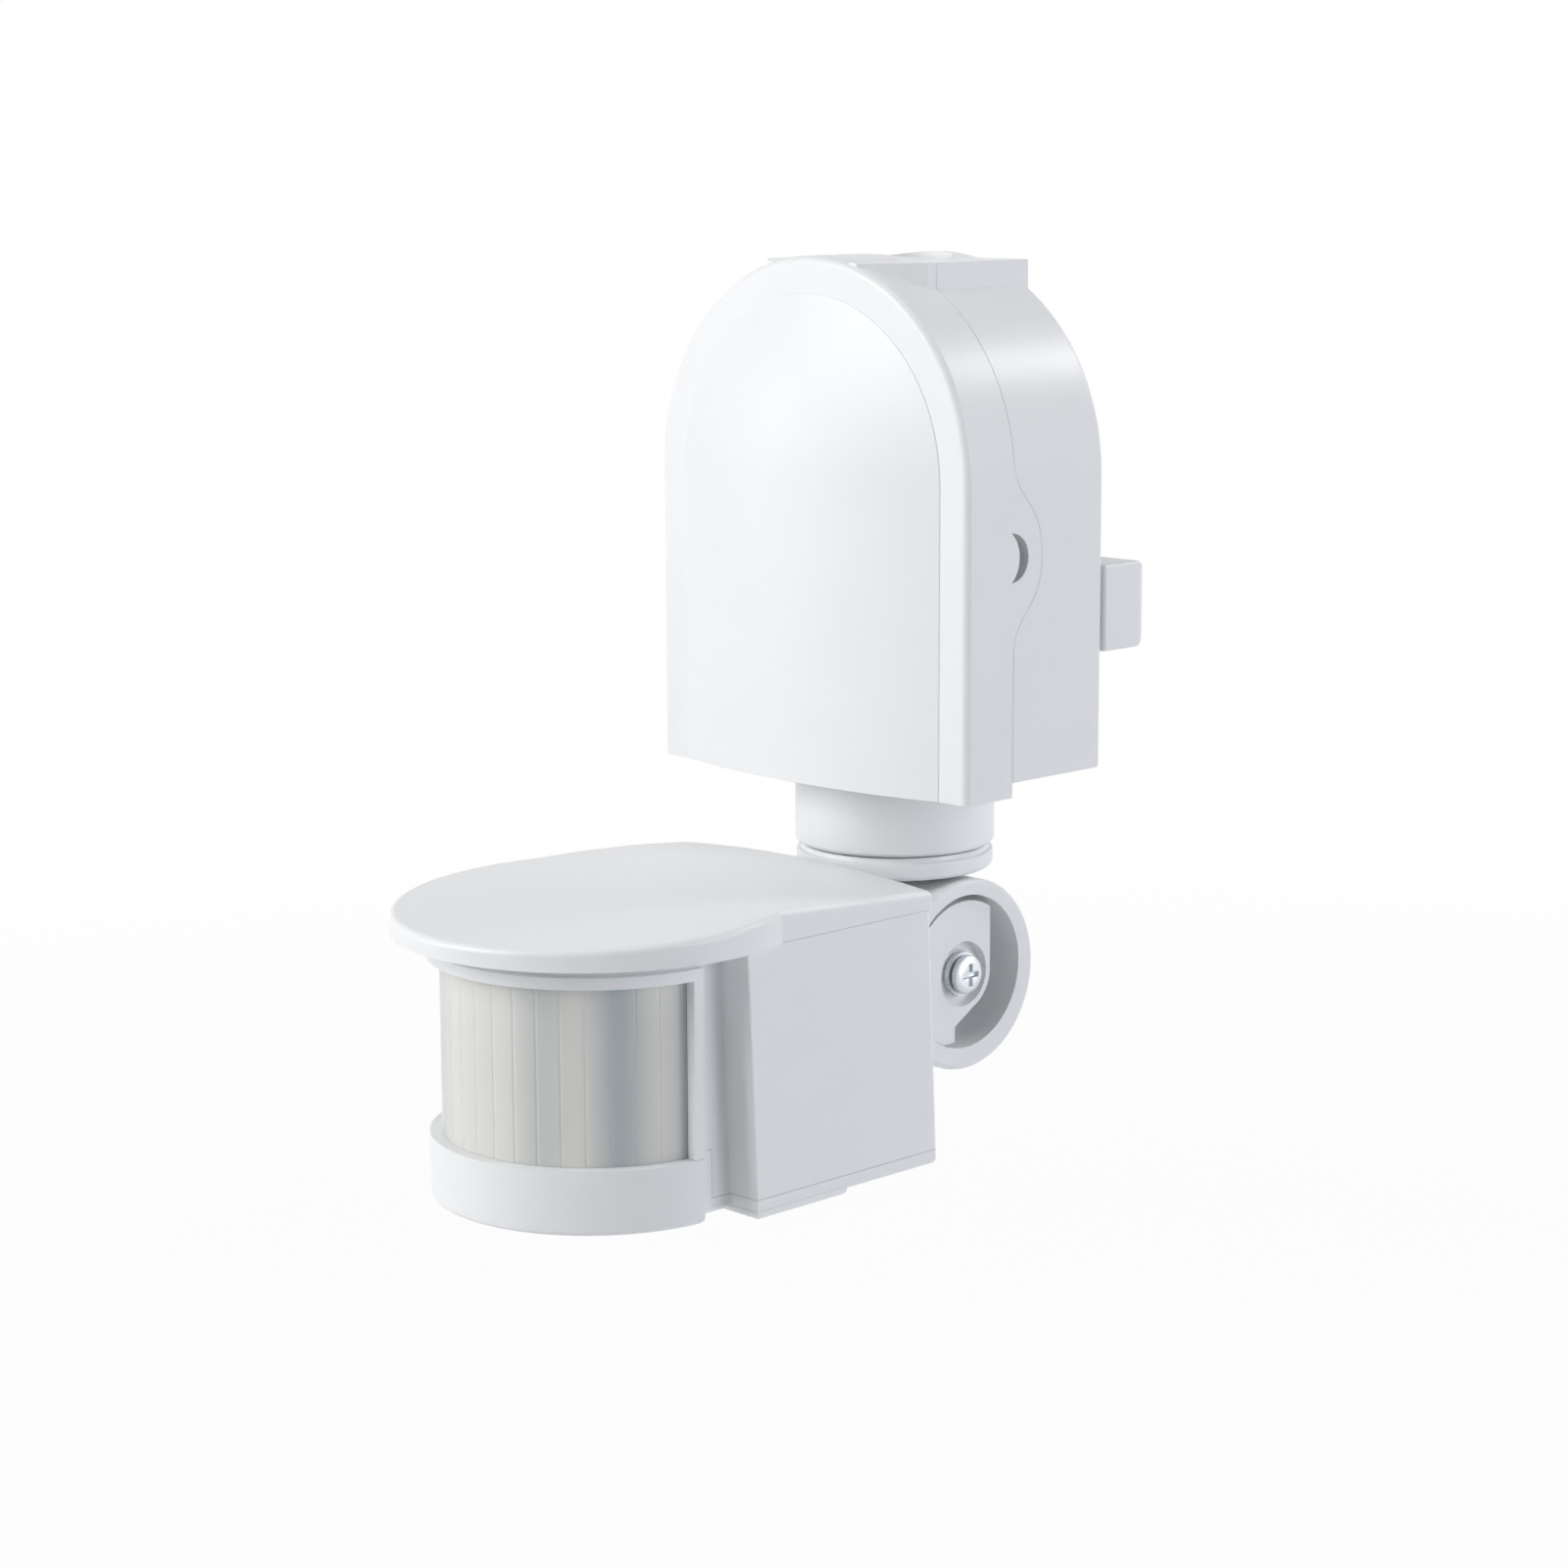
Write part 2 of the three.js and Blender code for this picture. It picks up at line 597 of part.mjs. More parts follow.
// One ear of the knuckle about the tilt axis: a cup with a rim, a web and a hub, open outwards.
// The web fills the side that a quarter turn about X points to the head or up to the yoke.
function ear(side, solidBehind) {
  const span = (a, b) => (side > 0 ? [a, b] : [-b, -a]);
  const drum = rod("x", knuckleRadius, ...span(earX0, earX1), [0, 0], 32);
  const pocket = rod("x", knuckleRadius - knuckleRim, ...span(pocketX, earX1 + 1), [0, 0], 24);
  const web = webShape();
  const webX = span(pocketX - overlapIn, earX1 - 1);
  const island = sidePlate(web, webX[0], webX[1] - webX[0], { curveSegments: 8 });
  const dish = rod("x", hubRadius + 2.2, ...span(earX1 - 4, earX1), [0, 0], 20);
  const hub = rod("x", hubRadius, ...span(pocketX - overlapIn, hubX), [0, 0], 20);
  const bore = rod("x", pivotScrewRadius + clearance, ...span(earX0 - 1, earX1), [0, 0], 14);
  const body = cut(solidBehind ? join(drum, solidBehind) : drum, pocket);
  return cut(join(body, cut(island, dish), hub), bore);
}

// The web inside an ear: a lobe over the hub and a strip down one side.
function webShape() {
  const reach = knuckleRadius - knuckleRim - 0.9;
  const lobe = 3.1;
  const strip = 4.2;
  const foot = 9.2;
  const step = 2.2;
  const angleOf = (y) => Math.acos(y / reach);
  const shape = new THREE.Shape();
  shape.moveTo(lobe, reach * Math.sin(angleOf(lobe)));
  shape.absarc(0, 0, reach, angleOf(lobe), Math.PI + Math.asin(foot / reach), false);
  shape.lineTo(-strip, -foot);
  shape.lineTo(-strip, -step);
  shape.lineTo(lobe, -step);
  return shape;
}

// Yoke under the neck: a ring and plug that close the sleeve, and the ear on the left of the knuckle.
function pivotYoke() {
  const plug = neckRadius - sleeveWall - clearance;
  const plugTop = neckBottomZ + 5;
  const groove = neckRadius - grooveDepth;
  const outside = neckRadius - 0.2;
  const seat = neckBottomZ - clearance;
  const profile = [
    [wireWayRadius, yokeBottomZ], [outside - 0.7, yokeBottomZ], [outside, yokeBottomZ + 0.7],
    [outside, yokeTopZ], [groove, yokeTopZ], [groove, seat], [plug, seat], [plug, plugTop],
    [wireWayRadius, plugTop], [wireWayRadius, yokeBottomZ],
  ];
  const ring = turned(profile, 28);
  const webDepth = 8.5;
  const webTop = yokeBottomZ + overlapIn;
  const web = block([-knuckleHalfWidth + 2.5, -earFaceGap], [-webDepth, webDepth], [pivotZ + 4, webTop]);
  const leftEar = shifted(ear(-1, shifted(web, 0, 0, -pivotZ)), 0, 0, pivotZ);
  const wireWay = rod("z", wireWayRadius, pivotZ + knuckleRadius * 0.55, neckBottomZ + 6, [0, 0], 16);
  return cut(join(ring, leftEar), wireWay);
}

// ---------------------------------------------------------------- sensor head shells
// Plan of the roof: a round visor over the lens, running back over the body.
function roofShape(inset) {
  const radius = visorRadius - inset;
  const half = headHalfWidth - inset;
  const back = -headReach - inset;
  const turn = Math.asin(half / radius);
  const shape = new THREE.Shape();
  shape.moveTo(-half + headCorner, back);
  shape.absarc(-half + headCorner, back - headCorner, headCorner, Math.PI / 2, Math.PI, false);
  shape.lineTo(-half, lensY + radius * Math.cos(turn));
  shape.absarc(0, lensY, radius, Math.PI / 2 + turn, 2.5 * Math.PI - turn, false);
  shape.lineTo(half, back - headCorner);
  shape.absarc(half - headCorner, back - headCorner, headCorner, 0, Math.PI / 2, false);
  return shape;
}

// The domed roof with its visor, pegged into the screw bosses of the body.
function visorRoof() {
  const base = headTop + clearance;
  const tall = roofPeak - base;
  const reach = headReach + roofDomeAhead + 26;
  const rings = 4;
  const dome = [[0, base - 1], [reach, base - 1]];
  for (let i = rings; i >= 0; i--) {
    const r = (reach * i) / rings;
    dome.push([r, roofPeak - roofDomeRadius + Math.sqrt(roofDomeRadius ** 2 - r ** 2)]);
  }
  const cap = shifted(turned(dome, 28), 0, -headReach - roofDomeAhead, 0);
  const lowered = shifted(cap, 0, 0, -roofEdgeRound);
  const plan = floorPlate(roofShape(0), base, tall, { curveSegments: 12 }).intersect(lowered);
  const inner = floorPlate(roofShape(roofEdgeRound), base, tall, { curveSegments: 12 }).intersect(cap);
  const pegs = bossCentres().map(([x, y]) => rod("z", 1.1, headTop - 3, base + 1, [x, y], 8));
  return join(plan, inner, ...pegs);
}

// Places of the four screw bosses.
function bossCentres() {
  const x = headHalfWidth - bossInset;
  const rear = -headReach - bossInset;
  const front = stepY + bossInset;
  return [[-x, rear], [x, rear], [-x, front], [x, front]];
}

// Slants a solid of the body: its upright faces lean forward with height above the tilt axis.
const lean = new THREE.Matrix4().set(1, 0, 0, 0, 0, 1, -headLean, 0, 0, 0, 1, 0, 0, 0, 0, 1);

// Plan of the body behind the steps, drawn in by an inset.
function bodyShape(inset) {
  const half = headHalfWidth - inset;
  const corner = Math.max(headCorner - inset / 2, 0.1);
  const back = -headReach - inset;
  const shape = new THREE.Shape();
  shape.moveTo(-half, stepY + inset);
  shape.lineTo(half, stepY + inset);
  shape.lineTo(half, back - corner);
  shape.absarc(half - corner, back - corner, corner, 0, Math.PI / 2, false);
  shape.lineTo(-half + corner, back);
  shape.absarc(-half + corner, back - corner, corner, Math.PI / 2, Math.PI, false);
  return shape;
}

const onCircle = (radius, degrees) => {
  const turn = THREE.MathUtils.degToRad(degrees);
  return [radius * Math.sin(turn), lensY - radius * Math.cos(turn)];
};

// Plan of the lens mouth: its round front, squared off behind the posts, and the narrow throat that
// runs back past the steps.
function mouthShape(radius, throat, backAngle) {
  const [x, y] = onCircle(radius, backAngle);
  const from = -Math.PI / 2 + THREE.MathUtils.degToRad(backAngle);
  const back = stepY + wall + 1;
  const shape = new THREE.Shape();
  shape.moveTo(-throat, back);
  shape.lineTo(-throat, y);
  shape.lineTo(-x, y);
  shape.absarc(0, lensY, radius, -Math.PI - from, from, false);
  shape.lineTo(throat, y);
  shape.lineTo(throat, back);
  return shape;
}

// A wedge on the front side of the lens axis, out to an angle each way from straight ahead.
function frontSector(radius, halfAngle, z, height) {
  const [x, y] = onCircle(radius, halfAngle);
  const half = THREE.MathUtils.degToRad(halfAngle);
  const shape = new THREE.Shape();
  shape.moveTo(0, lensY);
  shape.lineTo(-x, y);
  shape.absarc(0, lensY, radius, -Math.PI / 2 - half, -Math.PI / 2 + half, false);
  return floorPlate(shape, z, height, { curveSegments: 16 });
}

const throatInner = throatHalfWidth - wall;
const ringInner = bandRadius - ringWidth;
const widest = Math.max(headHalfWidth, bandRadius);
const innerBackAngle = THREE.MathUtils.radToDeg(Math.asin(throatInner / ringInner));

// The space inside the head: the body's room and the throat and mouth in front of it.
function headRoom(z, height) {
  return join(
    placed(floorPlate(bodyShape(wall), z, height, { curveSegments: 4 }), lean),
    floorPlate(mouthShape(ringInner, throatInner, innerBackAngle), z, height, { curveSegments: 16 }),
  );
}

// The head's outer form between two heights.
function headForm(z, height) {
  return join(
    placed(floorPlate(bodyShape(0), z, height, { curveSegments: 4 }), lean),
    floorPlate(mouthShape(bandRadius, throatHalfWidth, postBackAngle), z, height, { curveSegments: 16 }),
  );
}

// Body of the head: four walls, the posts and ring round the lens, screw bosses, and the arm with the
// right ear of the knuckle.
function headBody() {
  const floor = headBottom + floorThickness + clearance;
  const height = headTop - floor;
  const low = headBottom - 2;
  const window = frontSector(bandRadius + 2, windowHalfAngle, bandTop - 5, windowTop - bandTop + 5);
  const below = shifted(mouthBlock(), 0, 0, bandTop + clearance - headTop);
  const overLip = cut(
    frontSector(bandRadius + 2, windowHalfAngle + 10, windowTop + ringLipHeight, headTop),
    rod("z", bandRadius - ringStep, windowTop, headTop + 1, [0, lensY], 36),
  );
  const lensSlot = cut(
    frontSector(lensRadius + clearance, windowHalfAngle + 2 * lensTuck, bandTop, windowTop - bandTop),
    rod("z", lensRadius - lensThickness - clearance, bandTop - 1, windowTop + 1, [0, lensY], 36),
  );
  const room = headRoom(low, headTop - low + 2);
  let shell = cut(headForm(floor, height), room, window, below, overLip, lensSlot);
  shell = join(shell, ...bossCentres().map(([x, y]) => bossBlock(x, y, floor, headTop)));
  for (const [x, y] of bossCentres()) {
    shell = cut(shell, rod("z", headScrew.radius + clearance, floor - 1, headTop + 1, [x, y], 8));
  }
  const wires = rod("y", wireHoleRadius, -headReach - wall - 2, -headReach + 2, [wireHoleX, 0], 16);
  const arm = block([earX0, earX1], [-headReach - overlapIn, 0], [-armHalfHeight, armHalfHeight]);
  return join(cut(shell, wires), ear(1, arm));
}

// Everything in front of the steps, from far below up to the top of the walls.
function mouthBlock() {
  const front = [lensY - visorRadius, stepY - mouthOverlap];
  return block([-widest - 1, widest + 1], front, [headTop - 60, headTop]);
}

// A boss in a corner of the body, square in plan and sunk into both walls beside it.
function bossBlock(x, y, z0, z1) {
  const outX = Math.sign(x) * (headHalfWidth - wall / 2);
  const rear = y > stepY + headLength / 2;
  const outY = rear ? -headReach - wall / 2 - 0.6 : stepY + wall / 2 + 0.8;
  const inX = x - Math.sign(x) * bossHalf;
  const inY = rear ? y - bossHalf : y + bossHalf;
  const span = (a, b) => [Math.min(a, b), Math.max(a, b)];
  return block(span(inX, outX), span(inY, outY), [z0, z1]);
}

const dialX = [-dialSpacing, 0, dialSpacing];
const dialY = stepY + dialBehind;
const padZ = headBottom - padDrop;
const boardRear = -headReach - boardMargin;
const boardFront = lensY - 12;
const boardPosts = [[-boardHalfWidth + 3, boardRear - 3], [boardHalfWidth - 3, boardRear - 3]];
const boardPostRadius = 2.3;
const screwSink = 1.4; // how deep the heads of the head screws sit in the floor
const headScrew = { radius: 1.2, length: 9, headRadius: 2.5, headHeight: 1.1, cross: true };
const boardScrew = { radius: 0.9, length: 4, headRadius: 2, headHeight: 1.3, cross: true };

// Floor of the head with the band under the lens, the pad with three dial holes, and the standoffs
// of the board.
function bottomShell() {
  const innerFloor = headBottom + floorThickness;
  const padSpan = [stepY, stepY + padLength];
  const pad = block([-headHalfWidth, headHalfWidth], padSpan, [padZ, headBottom + overlapIn]);
  const pan = join(headForm(headBottom, floorThickness), placed(pad, lean));
  const mouth = mouthShape(bandRadius, throatHalfWidth, postBackAngle);
  const room = mouthShape(ringInner, throatInner, innerBackAngle);
  const bandBack = stepY - mouthOverlap - clearance;
  const tray = cut(
    join(pan, floorPlate(mouth, headBottom, bandTop - headBottom)),
    floorPlate(room, innerFloor, 20),
    block([-widest, widest], [bandBack, stepY + 20], [innerFloor, bandTop + 1]),
  );
  const posts = boardPosts.map(([x, y]) =>
    rod("z", boardPostRadius, innerFloor - overlapIn, boardZ - clearance, [x, y], 12),
  );
  const frontRest = block([-8, 8], [lensY - 2, lensY], [innerFloor - overlapIn, boardZ - clearance]);
  let shell = join(tray, ...posts, frontRest);
  for (const [x, y] of boardPosts) {
    shell = cut(shell, rod("z", boardScrew.radius + clearance, boardZ - 5, boardZ, [x, y], 8));
  }
  for (const x of dialX) {
    shell = cut(
      shell,
      rod("z", dialRadius + clearance, padZ - 1, innerFloor + 1, [x, dialY], 16),
      rod("z", dialRadius + 1.6, padZ - 1, padZ + dialSink + 0.4, [x, dialY], 16),
    );
  }
  for (const [x, y] of bossCentres()) {
    shell = cut(
      shell,
      rod("z", headScrew.radius + clearance, padZ - 1, innerFloor + 1, [x, y], 8),
      rod("z", headScrew.headRadius + clearance, padZ - 1, headBottom + screwSink, [x, y], 12),
    );
  }
  return shell;
}

// The moulded lens: a thin curved sheet that bears on the band below and the ring above.
function fresnelLens() {
  const z = bandTop + clearance;
  const height = windowTop - clearance - z;
  return cut(
    frontSector(lensRadius, windowHalfAngle + lensTuck, z, height),
    rod("z", lensRadius - lensThickness, z - 1, z + height + 1, [0, lensY], 36),
  );
}

// ---------------------------------------------------------------- electronics
const boardTop = boardZ + boardThickness;
const sensorBoardY = lensY + 5;

function mainBoard() {
  const tongue = sensorBoardHalfWidth + 0.5;
  const shoulder = stepY + 4;
  let board = join(
    block([-boardHalfWidth, boardHalfWidth], [shoulder, boardRear], [boardZ, boardTop]),
    block([-tongue, tongue], [boardFront, shoulder + 1], [boardZ, boardTop]),
  );
  for (const [x, y] of boardPosts) {
    board = cut(board, rod("z", boardScrew.radius + clearance, boardZ - 1, boardTop + 1, [x, y], 10));
  }
  return board;
}

function sensorBoard() {
  const foot = boardTop + clearance;
  return block(
    [-sensorBoardHalfWidth, sensorBoardHalfWidth],
    [sensorBoardY - boardThickness, sensorBoardY],
    [foot, foot + sensorBoardHeight],
  );
}

const sensorFaceY = sensorBoardY - boardThickness - clearance;
const sensorZ = boardTop + clearance + sensorBoardHeight / 2;
const filterFace = sensorFaceY - canDepth;
const filterHalfWidth = 2;
const filterHalfHeight = 1.6;
const filterThickness = 0.5;

// Metal can of the pyroelectric sensor, with a flange and a recess for its filter window.
function pyroSensor() {
  const can = join(
    rod("y", canRadius, sensorFaceY - canDepth, sensorFaceY, [0, sensorZ], 20),
    rod("y", canRadius + 0.6, sensorFaceY - 0.8, sensorFaceY, [0, sensorZ], 20),
  );
  const recess = [filterFace - 1, filterFace + filterThickness + clearance];
  const half = filterHalfWidth + clearance;
  const tall = filterHalfHeight + clearance;
  return cut(can, block([-half, half], recess, [sensorZ - tall, sensorZ + tall]));
}

function pyroWindow() {
  return block(
    [-filterHalfWidth, filterHalfWidth],
    [filterFace, filterFace + filterThickness],
    [sensorZ - filterHalfHeight, sensorZ + filterHalfHeight],
  );
}

const componentFoot = boardTop + clearance;

// A vertical round component standing on the board.
function standingCan(radius, height, x, y) {
  const can = turned([
    [0, 0], [radius - 0.4, 0], [radius, 0.4], [radius, height - 0.5], [radius - 0.5, height], [0, height],
  ], 18);
  return shifted(can, x, y, componentFoot);
}

function standingBox(across, depth, height, y) {
  return block(across, [y - depth / 2, y + depth / 2], [componentFoot, componentFoot + height]);
}

const trimmerTop = boardZ - clearance;
const dialTopZ = trimmerTop - 3.6 - clearance;

// A rotary dial: knurled skirt, pointer slot underneath and a short shaft up to its trimmer.
function dial(x) {
  const teeth = 12;
  const rim = new THREE.Shape();
  for (let i = 0; i <= 2 * teeth; i++) {
    const turn = (Math.PI * i) / teeth;
    const radius = i % 2 ? dialRadius - 0.55 : dialRadius - 0.1;
    const [u, v] = [x + radius * Math.cos(turn), dialY + radius * Math.sin(turn)];
    if (i) rim.lineTo(u, v);
    else rim.moveTo(u, v);
  }
  const foot = padZ + dialSink;
  const skirtTop = dialTopZ - 0.8;
  const knob = join(
    floorPlate(rim, foot, skirtTop - foot),
    rod("z", 1.4, skirtTop - overlapIn, dialTopZ, [x, dialY], 12),
  );
  const pointer = [x - dialRadius + 1.2, x + dialRadius - 1.2];
  return cut(knob, block(pointer, [dialY - 0.5, dialY + 0.5], [foot - 1, foot + 1]));
}

function trimmer(x) {
  const body = block([x - 3.4, x + 3.4], [dialY - 3.4, dialY + 3.4], [trimmerTop - 3.6, trimmerTop]);
  return cut(body, rod("z", 1.2, trimmerTop - 4, trimmerTop - 2.6, [x, dialY], 10));
}

// ---------------------------------------------------------------- knuckle hardware
// All of it is centred on the tilt axis.
const washerX = hubX + clearance;
const screwSeatX = washerX + 0.8 + clearance;
const nutSeatX = -hubX;

function lockWasher() {
  const ring = cut(
    rod("x", hubRadius - 0.3, washerX, washerX + 0.8, [0, 0], 20),
    rod("x", pivotScrewRadius + clearance, washerX - 1, washerX + 2, [0, 0], 14),
  );
  return cut(ring, block([washerX - 1, washerX + 2], [0, hubRadius + 1], [-0.5, 0.5]));
}

function frictionWasher() {
  const half = earFaceGap - clearance;
  return cut(
    rod("x", knuckleRadius * 0.62, -half, half, [0, 0], 24),
    rod("x", pivotScrewRadius + clearance, -half - 1, half + 1, [0, 0], 14),
  );
}

function pivotNut() {
  const corner = nutAcrossFlats / Math.sqrt(3);
  return cut(
    rod("x", corner, nutSeatX - clearance - nutThickness, nutSeatX - clearance, [0, 0], 6),
    rod("x", pivotScrewRadius + clearance, nutSeatX - 6, nutSeatX + 1, [0, 0], 14),
  );
}

// ---------------------------------------------------------------- assembly
place(housing, "wall_bracket", wallBracket(), whitePlastic);
place(housing, "rear_base", rearBase(), whitePlastic);
place(housing, "front_cover", frontCover(), whitePlastic);
place(housing, "cover_gasket", coverGasket(), greyRubber);
place(housing, "rear_grommet", rearGrommet(), blackRubber);
place(housing, "top_entry_plug", topEntryPlug(), whitePlastic);
place(housing, "terminal_block", terminalBlock(), terminalPlastic);
poles.forEach((x, i) => {
  const seat = terminalFrontY + 2.2 - clearance;
  place(housing, "terminal_screw_" + (i + 1), screw("y", 1, seat, [x, terminalZ], poleScrew), brass);
});
for (const [side, label] of [[-1, "left"], [1, "right"]]) {
  const earSeat = earFrontY - clearance;
  const earCentre = [(side * earScrewSpacing) / 2, terminalZ];
  place(housing, "block_screw_" + label, screw("y", 1, earSeat, earCentre, earScrew), steel);
  const bracketSeat = backY - wall - clearance;
  const bracketCentre = [(side * bracketScrewSpacing) / 2, 0];
  place(housing, "bracket_screw_" + label, screw("y", 1, bracketSeat, bracketCentre, bracketScrew), steel);
}

place(neck, "neck_sleeve", neckSleeve(), whitePlastic);
place(neck, "neck_seal_ring", neckSeal(), blackRubber);
place(neck, "neck_retaining_clip", neckClip(), steel);
place(neck, "pivot_yoke", pivotYoke(), whitePlastic);

const pivotScrew = {
  radius: pivotScrewRadius,
  length: screwSeatX + hubX + nutThickness + 0.8,
  headRadius: screwHeadRadius,
  headHeight: 1.8,
  cross: true,
};
const knuckle = new THREE.Group();
knuckle.position.set(0, 0, pivotZ);
neck.add(knuckle);
place(knuckle, "pivot_screw", screw("x", -1, screwSeatX, [0, 0], pivotScrew), steel);
place(knuckle, "lock_washer", lockWasher(), steel);
place(knuckle, "pivot_nut", pivotNut(), steel);
place(knuckle, "friction_washer", frictionWasher(), blackRubber);

place(head, "head_body", headBody(), whitePlastic);
place(head, "visor_roof", visorRoof(), whitePlastic);
place(head, "bottom_shell", bottomShell(), whitePlastic);
place(head, "fresnel_lens", fresnelLens(), whiteLens);
place(head, "main_board", mainBoard(), boardGreen);
place(head, "sensor_board", sensorBoard(), boardGreen);
place(head, "pyro_sensor", pyroSensor(), canMetal);
place(head, "pyro_window", pyroWindow(), filterGlass);
place(head, "photocell", rod("y", 2.5, sensorFaceY - 2, sensorFaceY, [8.5, sensorZ], 14), cellCream);
place(head, "led_indicator", rod("y", 1.5, sensorFaceY - 5, sensorFaceY, [-8.5, sensorZ], 12), ledRed);
const relayX = [-boardHalfWidth + 1.25, -1.25];
const filmX = [-0.5, boardHalfWidth - 1.5];
const smoothingX = boardHalfWidth - 8;
place(head, "relay", standingBox(relayX, 19, 15.5, boardRear - 16), relayBlue);
place(head, "film_capacitor", standingBox(filmX, 8, 13, boardRear - 12), capacitorYellow);
place(head, "smoothing_capacitor", standingCan(4, 12, smoothingX, boardRear - 23), capacitorBlack);
["time", "light", "range"].forEach((label, i) => {
  place(head, label + "_trimmer", trimmer(dialX[i]), trimmerBlue);
  place(head, label + "_dial", dial(dialX[i]), dialGrey);
});
bossCentres().forEach(([x, y], i) => {
  const seat = headBottom + screwSink - clearance;
  place(head, "head_screw_" + (i + 1), screw("z", 1, seat, [x, y], headScrew), steel);
});
boardPosts.forEach(([x, y], i) => {
  place(head, "board_screw_" + (i + 1), screw("z", -1, boardTop + clearance, [x, y], boardScrew), steel);
});

export default sensor;
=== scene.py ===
"""Outdoor wall-mounted motion sensor, dressed over its mechanical frame.

The housing hangs on a wall bar, a neck under it pans about Z, and the sensor head tilts on a
clamped knuckle. X runs along the wall, -Y points into the room and Z is up. Sizes in the classes
are in millimetres, and the tools turn them into metres.
"""

from __future__ import annotations

import json
import logging
import math
import sys
from contextlib import contextmanager
from dataclasses import dataclass, field
from enum import Enum
from typing import Callable, Iterator, Sequence, Union

import bmesh
import bpy
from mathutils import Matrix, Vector

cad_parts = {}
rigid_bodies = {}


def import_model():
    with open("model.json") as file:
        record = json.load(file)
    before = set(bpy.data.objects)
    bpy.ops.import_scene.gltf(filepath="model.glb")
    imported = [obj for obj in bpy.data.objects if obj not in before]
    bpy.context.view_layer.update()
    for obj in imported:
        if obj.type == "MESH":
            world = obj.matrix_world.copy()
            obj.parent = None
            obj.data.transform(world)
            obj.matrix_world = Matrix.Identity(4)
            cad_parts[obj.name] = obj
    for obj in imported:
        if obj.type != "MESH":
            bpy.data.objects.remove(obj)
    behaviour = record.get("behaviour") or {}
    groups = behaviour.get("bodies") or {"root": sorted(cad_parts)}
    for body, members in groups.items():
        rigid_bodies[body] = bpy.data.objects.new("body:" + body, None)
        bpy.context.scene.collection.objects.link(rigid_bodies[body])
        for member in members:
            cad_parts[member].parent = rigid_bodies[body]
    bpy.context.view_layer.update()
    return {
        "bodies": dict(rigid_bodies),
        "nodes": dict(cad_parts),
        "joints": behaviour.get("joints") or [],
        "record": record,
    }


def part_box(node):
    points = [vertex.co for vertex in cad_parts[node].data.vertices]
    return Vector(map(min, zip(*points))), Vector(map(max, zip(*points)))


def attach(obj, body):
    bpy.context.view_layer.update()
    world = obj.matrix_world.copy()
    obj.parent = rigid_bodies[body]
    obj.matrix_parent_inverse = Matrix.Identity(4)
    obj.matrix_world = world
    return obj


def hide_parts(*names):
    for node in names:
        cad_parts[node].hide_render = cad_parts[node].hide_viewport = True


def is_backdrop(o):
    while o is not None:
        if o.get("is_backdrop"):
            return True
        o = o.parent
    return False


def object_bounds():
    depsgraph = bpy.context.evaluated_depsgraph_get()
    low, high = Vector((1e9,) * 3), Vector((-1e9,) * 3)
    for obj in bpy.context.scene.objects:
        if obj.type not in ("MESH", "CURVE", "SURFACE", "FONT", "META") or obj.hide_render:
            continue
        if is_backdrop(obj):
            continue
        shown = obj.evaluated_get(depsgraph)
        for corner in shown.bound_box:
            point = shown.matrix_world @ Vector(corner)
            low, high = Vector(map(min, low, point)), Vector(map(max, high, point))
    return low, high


Point = tuple[float, float, float]
Flat = tuple[float, float]
EdgeTest = Callable[[Vector, Vector], bool]
Tree = bpy.types.NodeTree
Socket = bpy.types.NodeSocket
Source = Union[bpy.types.Node, bpy.types.NodeSocket]  # a node stands for its first output

LOG = logging.getLogger("motion_sensor")
MM = 0.001
WHITE = (1.0, 1.0, 1.0, 1.0)
NEAR = 0.02  # two places closer than this many millimetres are the same place
DOUBLE = 0.002  # vertices closer than this many millimetres are merged
OVER = 1.0  # how far a cutting tool reaches past what it cuts, in millimetres
SINK = 0.5  # how far a solid sinks into the one that it is joined to, in millimetres
CREASE = 20.0  # edges between the facets of a round face are flatter than this, in degrees
SHARP = 32.0  # an edge that a mould would soften is sharper than this, in degrees
CRISP = 38.0  # an edge that is sharper than this stays crisp under smooth shading, in degrees


# ------------------------------------------------------------------------------- measuring
def metres(point: Sequence[float]) -> Vector:
    """Turns a place or a size in millimetres into metres."""
    return Vector([value * MM for value in point])


@dataclass(frozen=True)
class Span:
    """The box of a frame node, in millimetres."""

    low: Vector
    high: Vector

    @classmethod
    def of(cls, node: str) -> Span:
        """Measures a node of the frame.

        Args:
            node: Name of the node.

        Returns:
            Its box at rest.
        """
        low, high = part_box(node)
        return cls(low / MM, high / MM)

    @property
    def middle(self) -> Vector:
        """Centre of the box."""
        return (self.low + self.high) / 2


def measured(node: str) -> Span:
    """Makes the field of a class that holds the box of a node."""
    return field(default_factory=lambda: Span.of(node))


